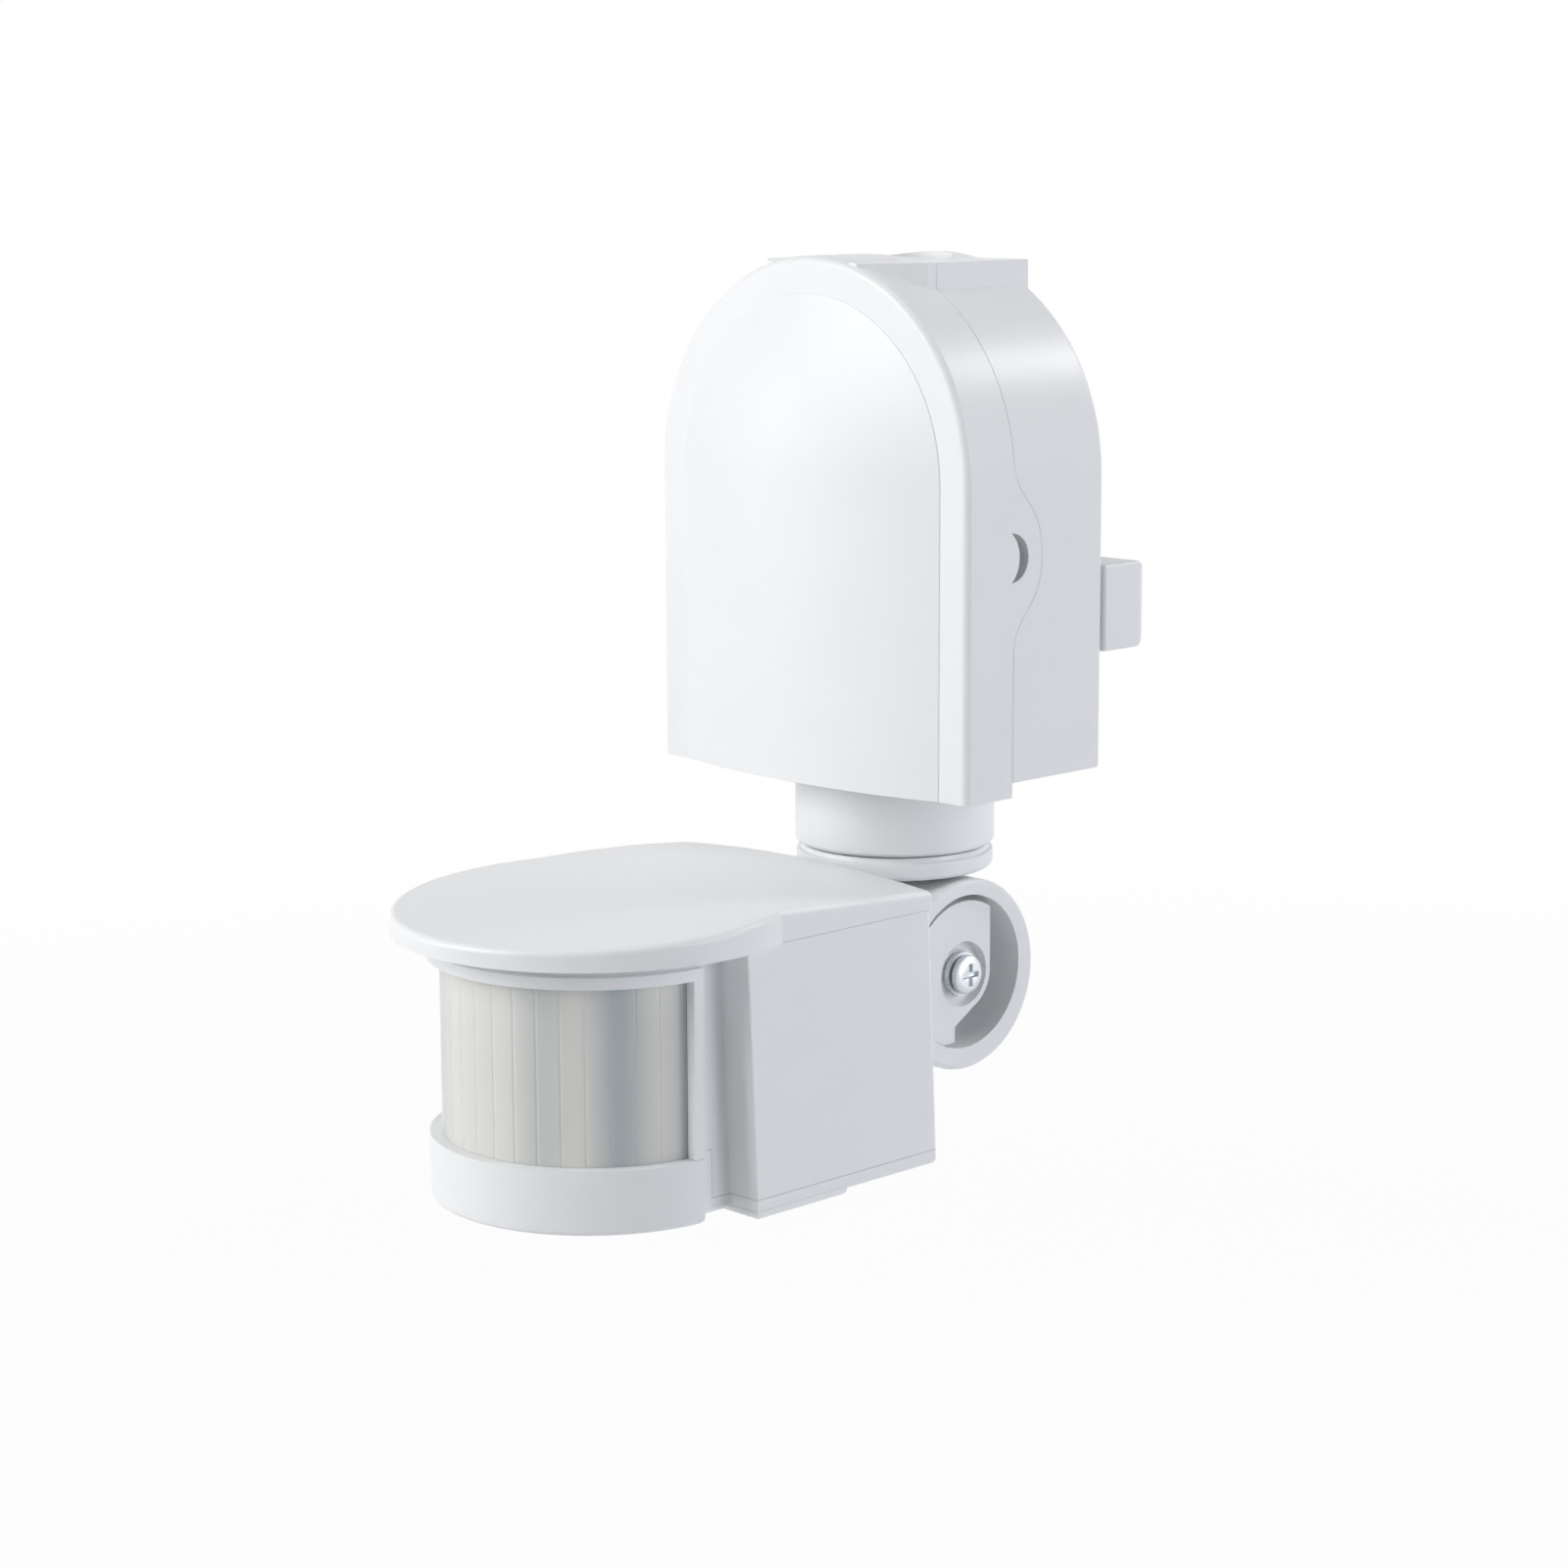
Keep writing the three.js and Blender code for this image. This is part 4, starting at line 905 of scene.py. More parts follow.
class Palette:
    """The finishes of the sensor, by the slot of the record that each one dresses."""

    def __init__(self, lens_axis: Flat) -> None:
        """Lists the finishes.

        Args:
            lens_axis: x and y of the upright axis of the lens.
        """
        self.by_slot: dict[str, Finish] = {
            # Weather-proof ASA, injection moulded: cool white, half gloss, with a faint grain.
            "white_plastic": Plastic(
                "moulded_white_asa", "ECEDEE", 0.36, grain=0.5, grain_depth=0.006, glow=0.06
            ),
            # High-density polyethylene sheet: milky, smooth, with upright lens facets.
            "lens_plastic": LensSheet(
                "milky_polyethylene",
                "DEDED8",
                0.3,
                ior=1.54,
                grain_depth=0.12,
                axis_x=lens_axis[0],
                axis_y=lens_axis[1],
            ),
            # EPDM rubber: deep grey and dull.
            "black_rubber": Finish("moulded_epdm", "26272A", 0.75, ior=1.52, grain_depth=0.02),
            # Silicone cord: mid grey and dull.
            "grey_rubber": Finish("grey_silicone", "7F8388", 0.7, ior=1.43, grain_depth=0.02),
            # Zinc-plated steel: bright, faintly blue and satin, with turning marks.
            "steel": Metal(
                "zinc_plated_steel", "D2D6DA", 0.46, 1.0, grain=0.4, stretch=(1.0, 1.0, 6.0)
            ),
            # Bright drawn brass.
            "brass": Metal("drawn_brass", "D2AC5C", 0.32, 1.0, grain=0.4, stretch=(1.0, 6.0, 1.0)),
            # Natural polyamide: ivory, slightly waxy.
            "terminal_plastic": Plastic("natural_polyamide", "E6E1D2", 0.45, ior=1.53, glow=0.1),
            # Glass-fibre board under green solder mask.
            "board_green": Board("solder_masked_board", "1F5B38", 0.35, grain=1.2),
            # Nickel-plated deep-drawn can.
            "can_metal": Metal("nickel_plated_can", "C9CAC6", 0.22, 1.0, stretch=(1.0, 1.0, 4.0)),
            # Coated silicon filter: nearly black, mirror smooth, with a violet cast.
            "filter_glass": Finish("coated_silicon_filter", "1B1622", 0.08, ior=2.0, grain_depth=0),
            # Glass-filled polyester case of the relay.
            "relay_blue": Finish("relay_case_polyester", "22509B", 0.4, grain_depth=0.015),
            # Dipped epoxy: mustard yellow and glossy.
            "capacitor_yellow": Finish("dipped_yellow_epoxy", "D0A32E", 0.28, mottle=0.06),
            # Shrink sleeve of the round capacitor.
            "capacitor_black": Finish("black_shrink_sleeve", "1C1E24", 0.3, grain_depth=0.01),
            # Polyester case of the trimmers.
            "trimmer_blue": Finish("trimmer_case_polyester", "2B5FAE", 0.45, grain_depth=0.015),
            # Grey ABS of the dials.
            "dial_grey": Plastic("moulded_grey_abs", "C9CCD1", 0.42, grain_depth=0.008),
            # Tinted clear epoxy.
            "led_red": Finish("tinted_epoxy", "B3211C", 0.12, ior=1.55, grain_depth=0),
            # Glazed ceramic of the photocell.
            "cell_cream": Finish("glazed_ceramic", "D2C59C", 0.3, ior=1.6, grain_depth=0.01),
        }

    def dress(self, piece: Piece, slot: str) -> None:
        """Gives a new piece the finish of a slot.

        Args:
            piece: The piece.
            slot: Name of the record's material slot.
        """
        piece.obj.data.materials.clear()
        piece.obj.data.materials.append(self.by_slot[slot].material())

    def dress_frame(self, frame: dict) -> None:
        """Gives every node of the frame the finish of its slot.
        """
        for part in frame["record"]["subparts"]:
            obj = frame["nodes"][part["node"]]
            made = self.by_slot[part["material_slot"]].material()
            if not obj.material_slots:
                obj.data.materials.append(made)
            for holder in obj.material_slots:
                holder.material = made


@dataclass
class Assembly:
    """What each sub-assembly has: the finishes, and the pieces that it has handed over."""

    palette: Palette

    def hand_over(self, piece: Piece, name: str, body: str, slot: str, *nodes: str) -> None:
        """Names a finished piece, dresses it and sets it in the place of frame nodes.

        Args:
            piece: The finished piece.
            name: Its name.
            body: The body that it moves with.
            slot: Its material slot.
            *nodes: The nodes that it stands for.
        """
        piece.obj.name = name
        piece.obj.data.name = name
        self.palette.dress(piece, slot)
        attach(piece.obj, body)
        if nodes:
            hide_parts(*nodes)
        LOG.info("%s: %d faces", name, len(piece.obj.data.polygons))


# ------------------------------------------------------------------------------- housing
@dataclass
class Housing(Assembly):
    """The wall bar, the arched base and the crowned cover."""

    wall: float = 2.2
    gap: float = 0.3
    edge: float = 0.06  # rounding that the mould leaves on an edge
    cover_drop: float = 2.2
    cover_round: float = 1.1
    base_round: float = 1.2
    rim_width: float = 5.4
    crown_step: float = 0.1
    crown_rise: float = 3.3
    crown_top: float = 0.6  # half width of what stays flat at the top of the swell
    crown_steps: int = 16
    pad_half: float = 16.5
    pad_depth: float = 8.0
    pad_sink: float = 0.9
    pad_nose: Flat = (9.2, 9.2)  # half width of its front end, and its reach over the cover
    seam: float = 0.06
    tab_half: float = 14.0
    tab_reach: float = 6.0
    tab_z: float = 9.2
    tab_handles: Flat = (0.55, 0.6)  # of its curves at foot and tip, as shares of its half height
    tab_steps: int = 16
    finger: Point = (1.8, 2.5, 4.0)  # thickness, start behind the seam and half height
    finger_inset: float = 1.2
    release_radius: float = 3.6
    release_width: float = 3.2
    release_curve: Flat = (1.9, 1.7)  # how far the handles of its inner curve lie out and up
    neck_boss: Flat = (8.6, 6.7)  # outer and inner radius
    neck_boss_depth: float = 3.6
    terminal_post: Flat = (3.0, 1.3)  # outer and inner radius
    terminal_post_at: Flat = (17.5, 16.0)
    terminal_post_length: Flat = (4.0, 5.0)  # of the post, and of its bore
    bracket_screw: Flat = (9.0, 1.8)  # its x, and the radius of its bore
    bracket_screw_stop: float = 1.6  # how far from the wall its bore ends
    grommet_bore: float = 6.3
    grommet_edge: float = 0.15
    plug_bore: Flat = (5.3, 7.3)  # radii of the bore and of the seat above it
    plug_seat: float = 1.4  # depth of that seat
    plug_slot: Point = (4.2, 0.6, 1.0)  # half length, half width and depth
    plug_edge: float = 0.12
    bar_round: float = 3.0
    bar_edge: float = 0.5
    screw_slot: Flat = (4.6, 8.6)  # bore and head bore of the wall screw slots
    slot_spacing: float = 42.0
    slot_half: float = 1.5  # half length of the straight part of a slot
    arch_steps: int = 72
    cover: Span = measured("front_cover")
    base: Span = measured("rear_base")
    bar: Span = measured("wall_bracket")
    neck: Span = measured("neck_sleeve")

    @property
    def half(self) -> float:
        """Half width of the housing, and the radius of its arch."""
        return self.cover.high.x

    @property
    def arch_z(self) -> float:
        """Height of the centre of the arch."""
        return self.cover.high.z - self.half

    @property
    def seam_y(self) -> float:
        """The front edge of the base, against which the cover closes."""
        return self.base.low.y

    @property
    def rim_y(self) -> float:
        """The flat rim of the cover."""
        return self.cover.low.y + self.crown_step + self.crown_rise

    @property
    def foot_z(self) -> float:
        """Foot of the base, above the drip edge of the cover."""
        return self.cover.low.z + self.cover_drop

    def arch(self, y: float, inset: float, foot: float, depth: float) -> Piece:
        """Makes an arched plate.

        Args:
            y: Its back face.
            inset: How far its outline lies inside the housing's own.
            foot: Height of its level foot.
            depth: How far it reaches forward.

        Returns:
            The plate.
        """
        half = self.half - inset
        pen = Pen(Plane.FRONT, y, (-half, foot)).line((half, foot), (half, self.arch_z))
        pen.arc((0, self.arch_z), 180, self.arch_steps)
        return pen.pulled((0, -depth, 0))

    def tab_line(self, pen: Pen, margin: float) -> Pen:
        """Draws the bell-shaped outline of a tab, from its foot to its top.

        Args:
            pen: The pen, at the foot of the tab.
            margin: How far the outline is drawn out.

        Returns:
            The pen.
        """
        seam, half = self.seam_y - self.seam, self.tab_half + margin
        tip, z, steps = seam + self.tab_reach + margin, self.tab_z, self.tab_steps
        foot, peak = (half * share for share in self.tab_handles)
        pen.curve((seam, z - foot), (tip, z - peak), (tip, z), steps)
        return pen.curve((tip, z + peak), (seam, z + foot), (seam, z + half), steps)

    def tab_hole(self, side: int) -> Piece:
        """Makes the tool that opens the base for a tab of the cover.

        Args:
            side: Minus one on the left and one on the right.

        Returns:
            The tool.
        """
        seam, half = self.seam_y - self.seam, self.tab_half + self.seam
        inner = side * (self.half - self.wall - NEAR / 2)
        pen = Pen(Plane.SIDE, inner, (seam - 2, self.tab_z - half)).line((seam, self.tab_z - half))
        self.tab_line(pen, self.seam).line((seam - 2, self.tab_z + half))
        return pen.pulled((side * (self.wall + OVER), 0, 0))

    def seam_cutter(self) -> Piece:
        """Makes the tool that trims the back of the cover to the seam and its two tabs."""
        seam, back = self.seam_y - self.seam, 1.0
        pen = Pen(Plane.SIDE, -self.half - OVER, (seam, self.tab_z - self.tab_half))
        self.tab_line(pen, 0).line((seam, self.cover.high.z + 5), (back, self.cover.high.z + 5))
        pen.line((back, self.cover.low.z - 9), (seam, self.cover.low.z - 9))
        return pen.pulled((2 * (self.half + OVER), 0, 0))

    def crescent(self, side: int) -> Piece:
        """Makes the tool that cuts the crescent release slot.

        Args:
            side: Minus one on the left and one on the right.

        Returns:
            The tool.
        """
        y = self.seam_y - 2 * self.gap
        start = (y, self.tab_z - self.release_radius)
        pen = Pen(Plane.SIDE, side * (self.half - self.wall - OVER), start)
        pen.arc((y, self.tab_z), 180, 24)
        out, up = self.release_curve
        inner = y + self.release_radius - self.release_width + out
        pen.curve((inner, self.tab_z + up), (inner, self.tab_z - up), start, 16)
        return pen.pulled((side * (self.wall + 3), 0, 0))

    def crowned_panel(self) -> Piece:
        """Makes the panel: a crisp step up from the rim, then one soft swell to its middle."""
        half = self.half - self.rim_width
        below = self.cover.low.z - half - 6
        panel = self.arch(self.rim_y + SINK, self.rim_width, below, self.crown_step + SINK)
        front, steps = self.rim_y - self.crown_step, self.crown_steps
        with editing(panel.obj):
            Pick.FACES.where(
                panel.obj, lambda face: abs(face.calc_center_median().y / MM - front) < NEAR
            )
            before = 0.0
            for step in range(1, steps + 1):
                height = self.crown_rise * (1 - (1 - step / steps) ** 2)
                bpy.ops.mesh.inset(
                    thickness=(half - self.crown_top) / steps * MM,
                    depth=(height - before) * MM,
                    use_even_offset=True,
                )
                before = height
        panel.edges_rounded(self.edge, Axis.Y.level(front), 2)
        with editing(panel.obj):
            bpy.ops.mesh.bisect(
                plane_co=metres((0, 0, self.cover.low.z - 2)),
                plane_no=(0, 0, -1),
                use_fill=True,
                clear_outer=True,
            )
        return panel

    def front_cover(self) -> Piece:
        """Makes the snap-on cover."""
        seam, back = self.seam_y - self.seam, self.seam_y + self.tab_reach + 1
        depth, foot, rim_y = back - self.rim_y, self.cover.low.z, self.rim_y
        shell = self.arch(back, 0, foot - 3, depth)
        shell.edges_rounded(self.cover_round, Axis.Y.level(rim_y), 5)
        shell.add(self.crowned_panel(), self.entry_pad())
        below = Piece.block((-self.half - 1, -60, foot - 9), (self.half + 1, 9, foot))
        shell.cut(below, self.arch(back + 1, self.wall, foot + self.wall, depth + 1 - self.wall))
        shell.cut(self.seam_cutter())
        notch = (self.neck.high.x - self.neck.low.x) / 2 + 2 * self.gap
        centre = (0, self.neck.middle.y)
        shell.cut(Piece.rod(Plane.PLAN, notch, (foot - OVER, foot + self.wall + OVER), centre))
        shell.cleaned().softened(self.edge)
        return shell.cut(self.crescent(-1), self.crescent(1)).shaded()

    def entry_pad(self) -> Piece:
        """Makes the flat pad of the top entry, which narrows as it runs over the cover."""
        top, back = self.cover.high.z - self.pad_sink, self.base.high.y
        front, wide = self.pad_nose[0], self.pad_half
        tip = self.seam_y - self.pad_nose[1]
        start = tip + wide - front
        pen = Pen(Plane.PLAN, top - self.pad_depth, (-wide, back))
        pen.line((-wide, start), (-front, tip), (front, tip), (wide, start), (wide, back))
        return pen.pulled((0, 0, self.pad_depth))

    def rear_base(self) -> Piece:
        """Makes the tray against the wall."""
        back = self.base.high.y
        depth = back - self.seam_y
        inside, crown = back - self.wall, self.cover.high.z - self.pad_sink
        tray = self.arch(back, 0, self.foot_z, depth)
        tray.edges_rounded(self.base_round, Axis.Y.level(back), 4)
        front = Piece.block((-40, -60, crown - 20), (40, self.seam_y, crown + 9))
        tray.add(self.entry_pad().cut(front))
        tray.cut(self.arch(inside, self.wall, self.foot_z + self.wall, depth))
        neck_at = (0, self.neck.middle.y)
        boss, wire_way = self.neck_boss
        boss_top = self.foot_z + self.neck_boss_depth
        tray.add(Piece.rod(Plane.PLAN, boss, (self.cover.low.z, boss_top), neck_at))
        post, thread = self.terminal_post
        post_end, thread_end = (inside - reach for reach in self.terminal_post_length)
        screw_x, screw_bore = self.bracket_screw
        for side in (-1, 1):
            post_at = (side * self.terminal_post_at[0], self.terminal_post_at[1])
            screw_at = (side * screw_x, 0)
            tray.add(Piece.rod(Plane.FRONT, post, (post_end, inside + SINK), post_at, 32))
            tray.add(self.snap_finger(side))
            tray.cut(self.tab_hole(side))
            tray.cut(Piece.rod(Plane.FRONT, screw_bore, (inside - OVER, back + OVER), screw_at, 32))
            tray.cut(Piece.rod(Plane.FRONT, thread, (thread_end, inside), post_at, 24))
        grommet_at = (0, Span.of("rear_grommet").middle.z)
        plug_at = (0, Span.of("top_entry_plug").middle.y)
        bore, seat = self.plug_bore
        tray.cut(
            Piece.rod(Plane.PLAN, wire_way, (self.cover.low.z - OVER, self.foot_z + 5), neck_at),
            Piece.rod(Plane.FRONT, self.grommet_bore, (inside - OVER, back + OVER), grommet_at),
            Piece.rod(Plane.PLAN, bore, (crown - 12, crown + OVER), plug_at),
            Piece.rod(Plane.PLAN, seat, (crown - self.plug_seat, crown + OVER), plug_at),
        )
        return tray.finished(self.edge)

    def snap_finger(self, side: int) -> Piece:
        """Makes the springy finger that a tab of the cover snaps over.

        Args:
            side: Minus one on the left and one on the right.

        Returns:
            The finger.
        """
        thickness, behind, half = self.finger
        outer = self.half - self.wall - self.finger_inset
        low, high = sorted((side * outer, side * (outer - thickness)))
        front, back = self.seam_y + behind, self.base.high.y - self.wall + SINK
        return Piece.block((low, front, self.tab_z - half), (high, back, self.tab_z + half))

    def wall_bar(self) -> Piece:
        """Makes the bar that stands the housing off the wall."""
        low, high = self.bar.low, self.bar.high
        bar = Piece.block(low, high)
        bar.edges_rounded(self.bar_round, Axis.Y.level(0), 6)
        bore, head = self.screw_slot
        screw_x, screw_bore = self.bracket_screw
        for side in (-1, 1):
            x, screw_at = side * self.slot_spacing / 2, (side * screw_x, 0)
            bar.cut(self.oblong(x, bore, (low.y - OVER, OVER)))
            bar.cut(self.oblong(x, head, (low.y - OVER, low.y / 2)))
            span = (low.y - OVER, -self.bracket_screw_stop)
            bar.cut(Piece.rod(Plane.FRONT, screw_bore, span, screw_at, 32))
        return bar.finished(self.bar_edge, 3)

    def oblong(self, x: float, bore: float, span: Flat) -> Piece:
        """Makes the tool that cuts a wall screw slot.

        Args:
            x: Its middle.
            bore: Its height.
            span: Where it starts and ends along Y.

        Returns:
            The tool.
        """
        half, radius = self.slot_half, bore / 2
        pen = Pen(Plane.FRONT, span[1], (x - half, -radius)).line((x + half, -radius))
        pen.arc((x + half, 0), 180, 20).line((x - half, radius)).arc((x - half, 0), 180, 20)
        return pen.pulled((0, span[0] - span[1], 0))

    def entry_plug(self) -> Piece:
        """Makes the blanking plug, slightly dished, with a coin slot across it."""
        box = Span.of("top_entry_plug")
        y, radius = box.middle.y, box.high.x
        top, foot = box.high.z - self.pad_sink, box.low.z
        seat, dish = top - 1.1, top - 0.3
        section = [
            (0, foot + 3), (3.6, foot + 3), (3.6, foot), (4.6, foot), (5, foot + 1), (5, seat),
            (radius, seat), (radius, top - 0.35), (radius - 0.35, top), (radius - 1.2, top),
            (radius - 1.5, dish), (0, dish),
        ]
        plug = ring_profile((0, y), section).spun((0, y, 0), (0, 0, 1))
        long, thin, deep = self.plug_slot
        slot = Piece.block((-long, y - thin, top - deep), (long, y + thin, top + OVER))
        return plug.cut(slot).finished(self.plug_edge)

    def grommet(self) -> Piece:
        """Makes the rubber grommet of the rear entry, stepped towards its membrane."""
        box = Span.of("rear_grommet")
        radius, z = box.high.x, box.middle.z
        back, front, wall_back = box.high.y, box.low.y, self.base.high.y
        collar, lip, groove = radius - 3.6, radius - 0.6, radius - 2
        section = [
            (0, wall_back - 0.4), (collar, wall_back - 0.4), (collar, front), (lip, front),
            (radius, front + 1.2), (groove, front + 1.2), (groove, back - 1.2),
            (radius, back - 1.2), (lip, back), (collar, back), (radius - 4.4, wall_back + 0.4),
            (2.2, wall_back + 0.4), (1.8, wall_back + 0.1), (0, wall_back + 0.1),
        ]
        pen = Pen(Plane.SIDE, 0, (section[0][1], z + section[0][0]))
        pen.line(*[(y, z + r) for r, y in section[1:]])
        return pen.spun((0, 0, z), (0, 1, 0)).finished(self.grommet_edge)

    def build(self) -> None:
        """Makes every piece of the housing and sets it in place."""
        for make, name, slot, node in (
            (self.front_cover, "housing_cover", "white_plastic", "front_cover"),
            (self.rear_base, "housing_base", "white_plastic", "rear_base"),
            (self.wall_bar, "wall_bar", "white_plastic", "wall_bracket"),
            (self.entry_plug, "entry_plug", "white_plastic", "top_entry_plug"),
            (self.grommet, "cable_grommet", "black_rubber", "rear_grommet"),
        ):
            self.hand_over(make(), name, "housing", slot, node)


# ------------------------------------------------------------------------------- neck
@dataclass
class Neck(Assembly):
    """The panning sleeve, the yoke under it and the knuckle's fixed ear and hardware."""

    wall: float = 2.6
    gap: float = 0.3
    wire_way: float = 3.6
    spigot: float = 6.4
    spigot_wall: float = 1.2
    groove: float = 0.9
    chamfer: float = 0.45
    sleeve_edge: float = 0.12
    yoke_edge: float = 0.25
    yoke_top: float = 1.1  # below the sleeve
    yoke_height: float = 2.7
    yoke_inset: float = 0.2
    yoke_chamfer: float = 0.6
    plug_depth: float = 5.0
    web_half: float = 8.5
    bolt: Point = (2.0, 3.0, 1.3)  # radii of shank and head, and height of the head
    bolt_sink: float = 0.5
    nut: Flat = (7.0, 2.3)  # size across its flats, and radius of its bore
    steps: int = 128
    sleeve: Span = measured("neck_sleeve")
    screw: Span = measured("pivot_screw")

    @property
    def axis(self) -> Flat:
        """x and y of the pan axis."""
        return (0.0, self.sleeve.middle.y)

    @property
    def radius(self) -> float:
        """Outer radius of the sleeve."""
        return self.sleeve.high.x

    def turned_sleeve(self) -> Piece:
        """Makes the sleeve with its spigot."""
        low, high = self.sleeve.low.z, self.sleeve.high.z
        top = Span.of("front_cover").low.z - self.gap
        skirt, edge = self.radius - self.wall, self.radius - self.chamfer
        clip = Span.of("neck_retaining_clip")
        foot, head = clip.low.z - self.gap, clip.high.z + self.gap
        groove = self.spigot - self.spigot_wall
        section = [
            (self.wire_way, top - 3), (skirt, top - 3), (skirt, low), (edge, low),
            (self.radius, low + self.chamfer), (self.radius, top - self.chamfer), (edge, top),
            (self.spigot, top), (self.spigot, foot), (groove, foot), (groove, head),
            (self.spigot, head), (self.spigot, high - 0.8), (self.spigot - 0.8, high),
            (self.wire_way, high), (self.wire_way, top - 3),
        ]
        made = ring_profile(self.axis, section).spun((*self.axis, 0), (0, 0, 1), self.steps)
        return made.softened(self.sleeve_edge).shaded()

    def yoke_with_ear(self, knuckle: Knuckle) -> Piece:
        """Makes the yoke: a ring that closes the sleeve, a web and the left ear.

        Args:
            knuckle: The knuckle that the ear belongs to.

        Returns:
            The yoke.
        """
        low = self.sleeve.low.z
        top = low - self.yoke_top
        foot = top - self.yoke_height
        plug, plug_top = self.radius - self.wall - self.gap, low + self.plug_depth
        outside, corner = self.radius - self.yoke_inset, self.yoke_chamfer
        neck = self.radius - self.groove
        section = [
            (self.wire_way, foot), (outside - corner, foot), (outside, foot + corner),
            (outside, top), (neck, top), (neck, low - self.gap), (plug, low - self.gap),
            (plug, plug_top), (self.wire_way, plug_top), (self.wire_way, foot),
        ]
        ring = ring_profile(self.axis, section).spun((*self.axis, 0), (0, 0, 1), self.steps)
        y, z = knuckle.centre
        web = Piece.block(
            (-knuckle.half_width + 2.5, y - self.web_half, z + 4),
            (-knuckle.face_gap, y + self.web_half, foot + SINK),
        )
        ring.add(knuckle.ear(-1, web))
        wires = (z + knuckle.radius * 0.55, plug_top + OVER)
        ring.cut(Piece.rod(Plane.PLAN, self.wire_way, wires, self.axis))
        return ring.finished(self.yoke_edge)

    def build(self, knuckle: Knuckle, fasteners: Fasteners) -> None:
        """Makes every piece of the neck and sets it in place.

        Args:
            knuckle: The knuckle between neck and head.
            fasteners: Maker of screws and nuts.
        """
        white = "white_plastic"
        self.hand_over(self.turned_sleeve(), "neck_tube", "neck", white, "neck_sleeve")
        self.hand_over(self.yoke_with_ear(knuckle), "neck_yoke", "neck", white, "pivot_yoke")
        y, z = knuckle.centre
        head = self.screw.high.x - self.bolt_sink
        bolt = fasteners.pan_head(*self.bolt, head - self.screw.low.x)
        bolt.turned_round(90, Axis.Y).moved((head, y, z))
        self.hand_over(bolt, "pivot_bolt", "neck", "steel", "pivot_screw")
        box = Span.of("pivot_nut")
        flats, bore = self.nut
        nut = fasteners.hexagon_nut(flats, box.high.x - box.low.x, bore)
        nut.turned_round(90, Axis.Y).moved((box.high.x, y, z))
        self.hand_over(nut, "bolt_nut", "neck", "steel", "pivot_nut")


@dataclass
class Knuckle:
    """The tilt joint: two round ears on one bolt, one on the yoke and one on the head."""

    radius: float = 14.7
    half_width: float = 15.6
    face_gap: float = 0.9
    rim: float = 2.9
    pocket: float = 9.5
    hub: float = 3.7
    hub_sink: float = 2.2
    bore: float = 2.3
    outer_round: float = 0.9
    pocket_shift: Flat = (-0.5, 0.6)  # the pocket lies a little forward and up in its drum
    dish: Flat = (1.3, 2.6)  # how far it reaches past the hub, and its depth
    web_inset: float = 0.5  # how far its outline stays inside the pocket's
    lobe: float = 5.9  # radius of the web round the hub
    lobe_turn: float = 65.0  # angle of the lobe's lower edge, in degrees
    strip: float = 1.9  # how far the strip's edge lies before the axis
    strip_foot: Flat = (10.4, 2.4)  # how far it hangs below the axis, and its straight part
    bolt: Span = measured("pivot_screw")

    @property
    def centre(self) -> Flat:
        """y and z of the tilt axis."""
        return (self.bolt.middle.y, self.bolt.middle.z)

    def ear(self, side: int, arm: Piece) -> Piece:
        """Makes one ear: a cup that opens outwards, with a web and a hub inside.

        Args:
            side: Minus one on the left and one on the right.
            arm: The solid that carries the ear, which the cup is cut into.

        Returns:
            The ear with its arm.
        """
        (y, z), (shift_y, shift_z) = self.centre, self.pocket_shift
        floor, outer = side * (self.half_width - self.pocket), side * self.half_width
        drum = Piece.rod(Plane.SIDE, self.radius, (side * self.face_gap, outer), (y, z), 128)
        drum.edges_rounded(self.outer_round, Axis.X.level(outer), 4)
        drum.add(arm)
        pocket_at = (y + shift_y, z + shift_z)
        pocket = (floor, outer + side * OVER)
        drum.cut(Piece.rod(Plane.SIDE, self.radius - self.rim, pocket, pocket_at, 128))
        island = self.web(floor - side * SINK, side * (self.half_width - 1))
        past, depth = self.dish
        dish = Piece.rod(Plane.SIDE, self.hub + past, (outer - side * depth, outer), (y, z))
        drum.add(island.cut(dish))
        hub_top = side * (self.half_width - self.hub_sink)
        drum.add(Piece.rod(Plane.SIDE, self.hub, (floor - side * SINK, hub_top), (y, z)))
        return drum.cut(Piece.rod(Plane.SIDE, self.bore, (0, outer), (y, z), 48))

    def web(self, inner: float, outer: float) -> Piece:
        """Makes the web of an ear: a lobe round the hub and a strip down its front.

        Args:
            inner: x of its inner face.
            outer: x of its outer face.

        Returns:
            The web.
        """
        y, z = self.centre
        reach = self.radius - self.rim - self.web_inset
        lobe, strip, turn = self.lobe, self.strip, math.radians(self.lobe_turn)
        foot, straight = self.strip_foot
        start = math.degrees(math.acos(lobe / reach))
        end = 180 + math.degrees(math.asin(foot / reach))
        top = reach * math.sin(math.radians(start))
        low = (y + lobe * math.cos(turn), z - lobe * math.sin(turn))
        pen = Pen(Plane.SIDE, inner, (y + lobe, z + top)).arc((y, z), end - start, 48)
        pen.line((y - strip, z - foot), (y - strip, z - foot + straight), low)
        pen.arc((y, z), self.lobe_turn, 12)
        return pen.pulled((outer - inner, 0, 0))


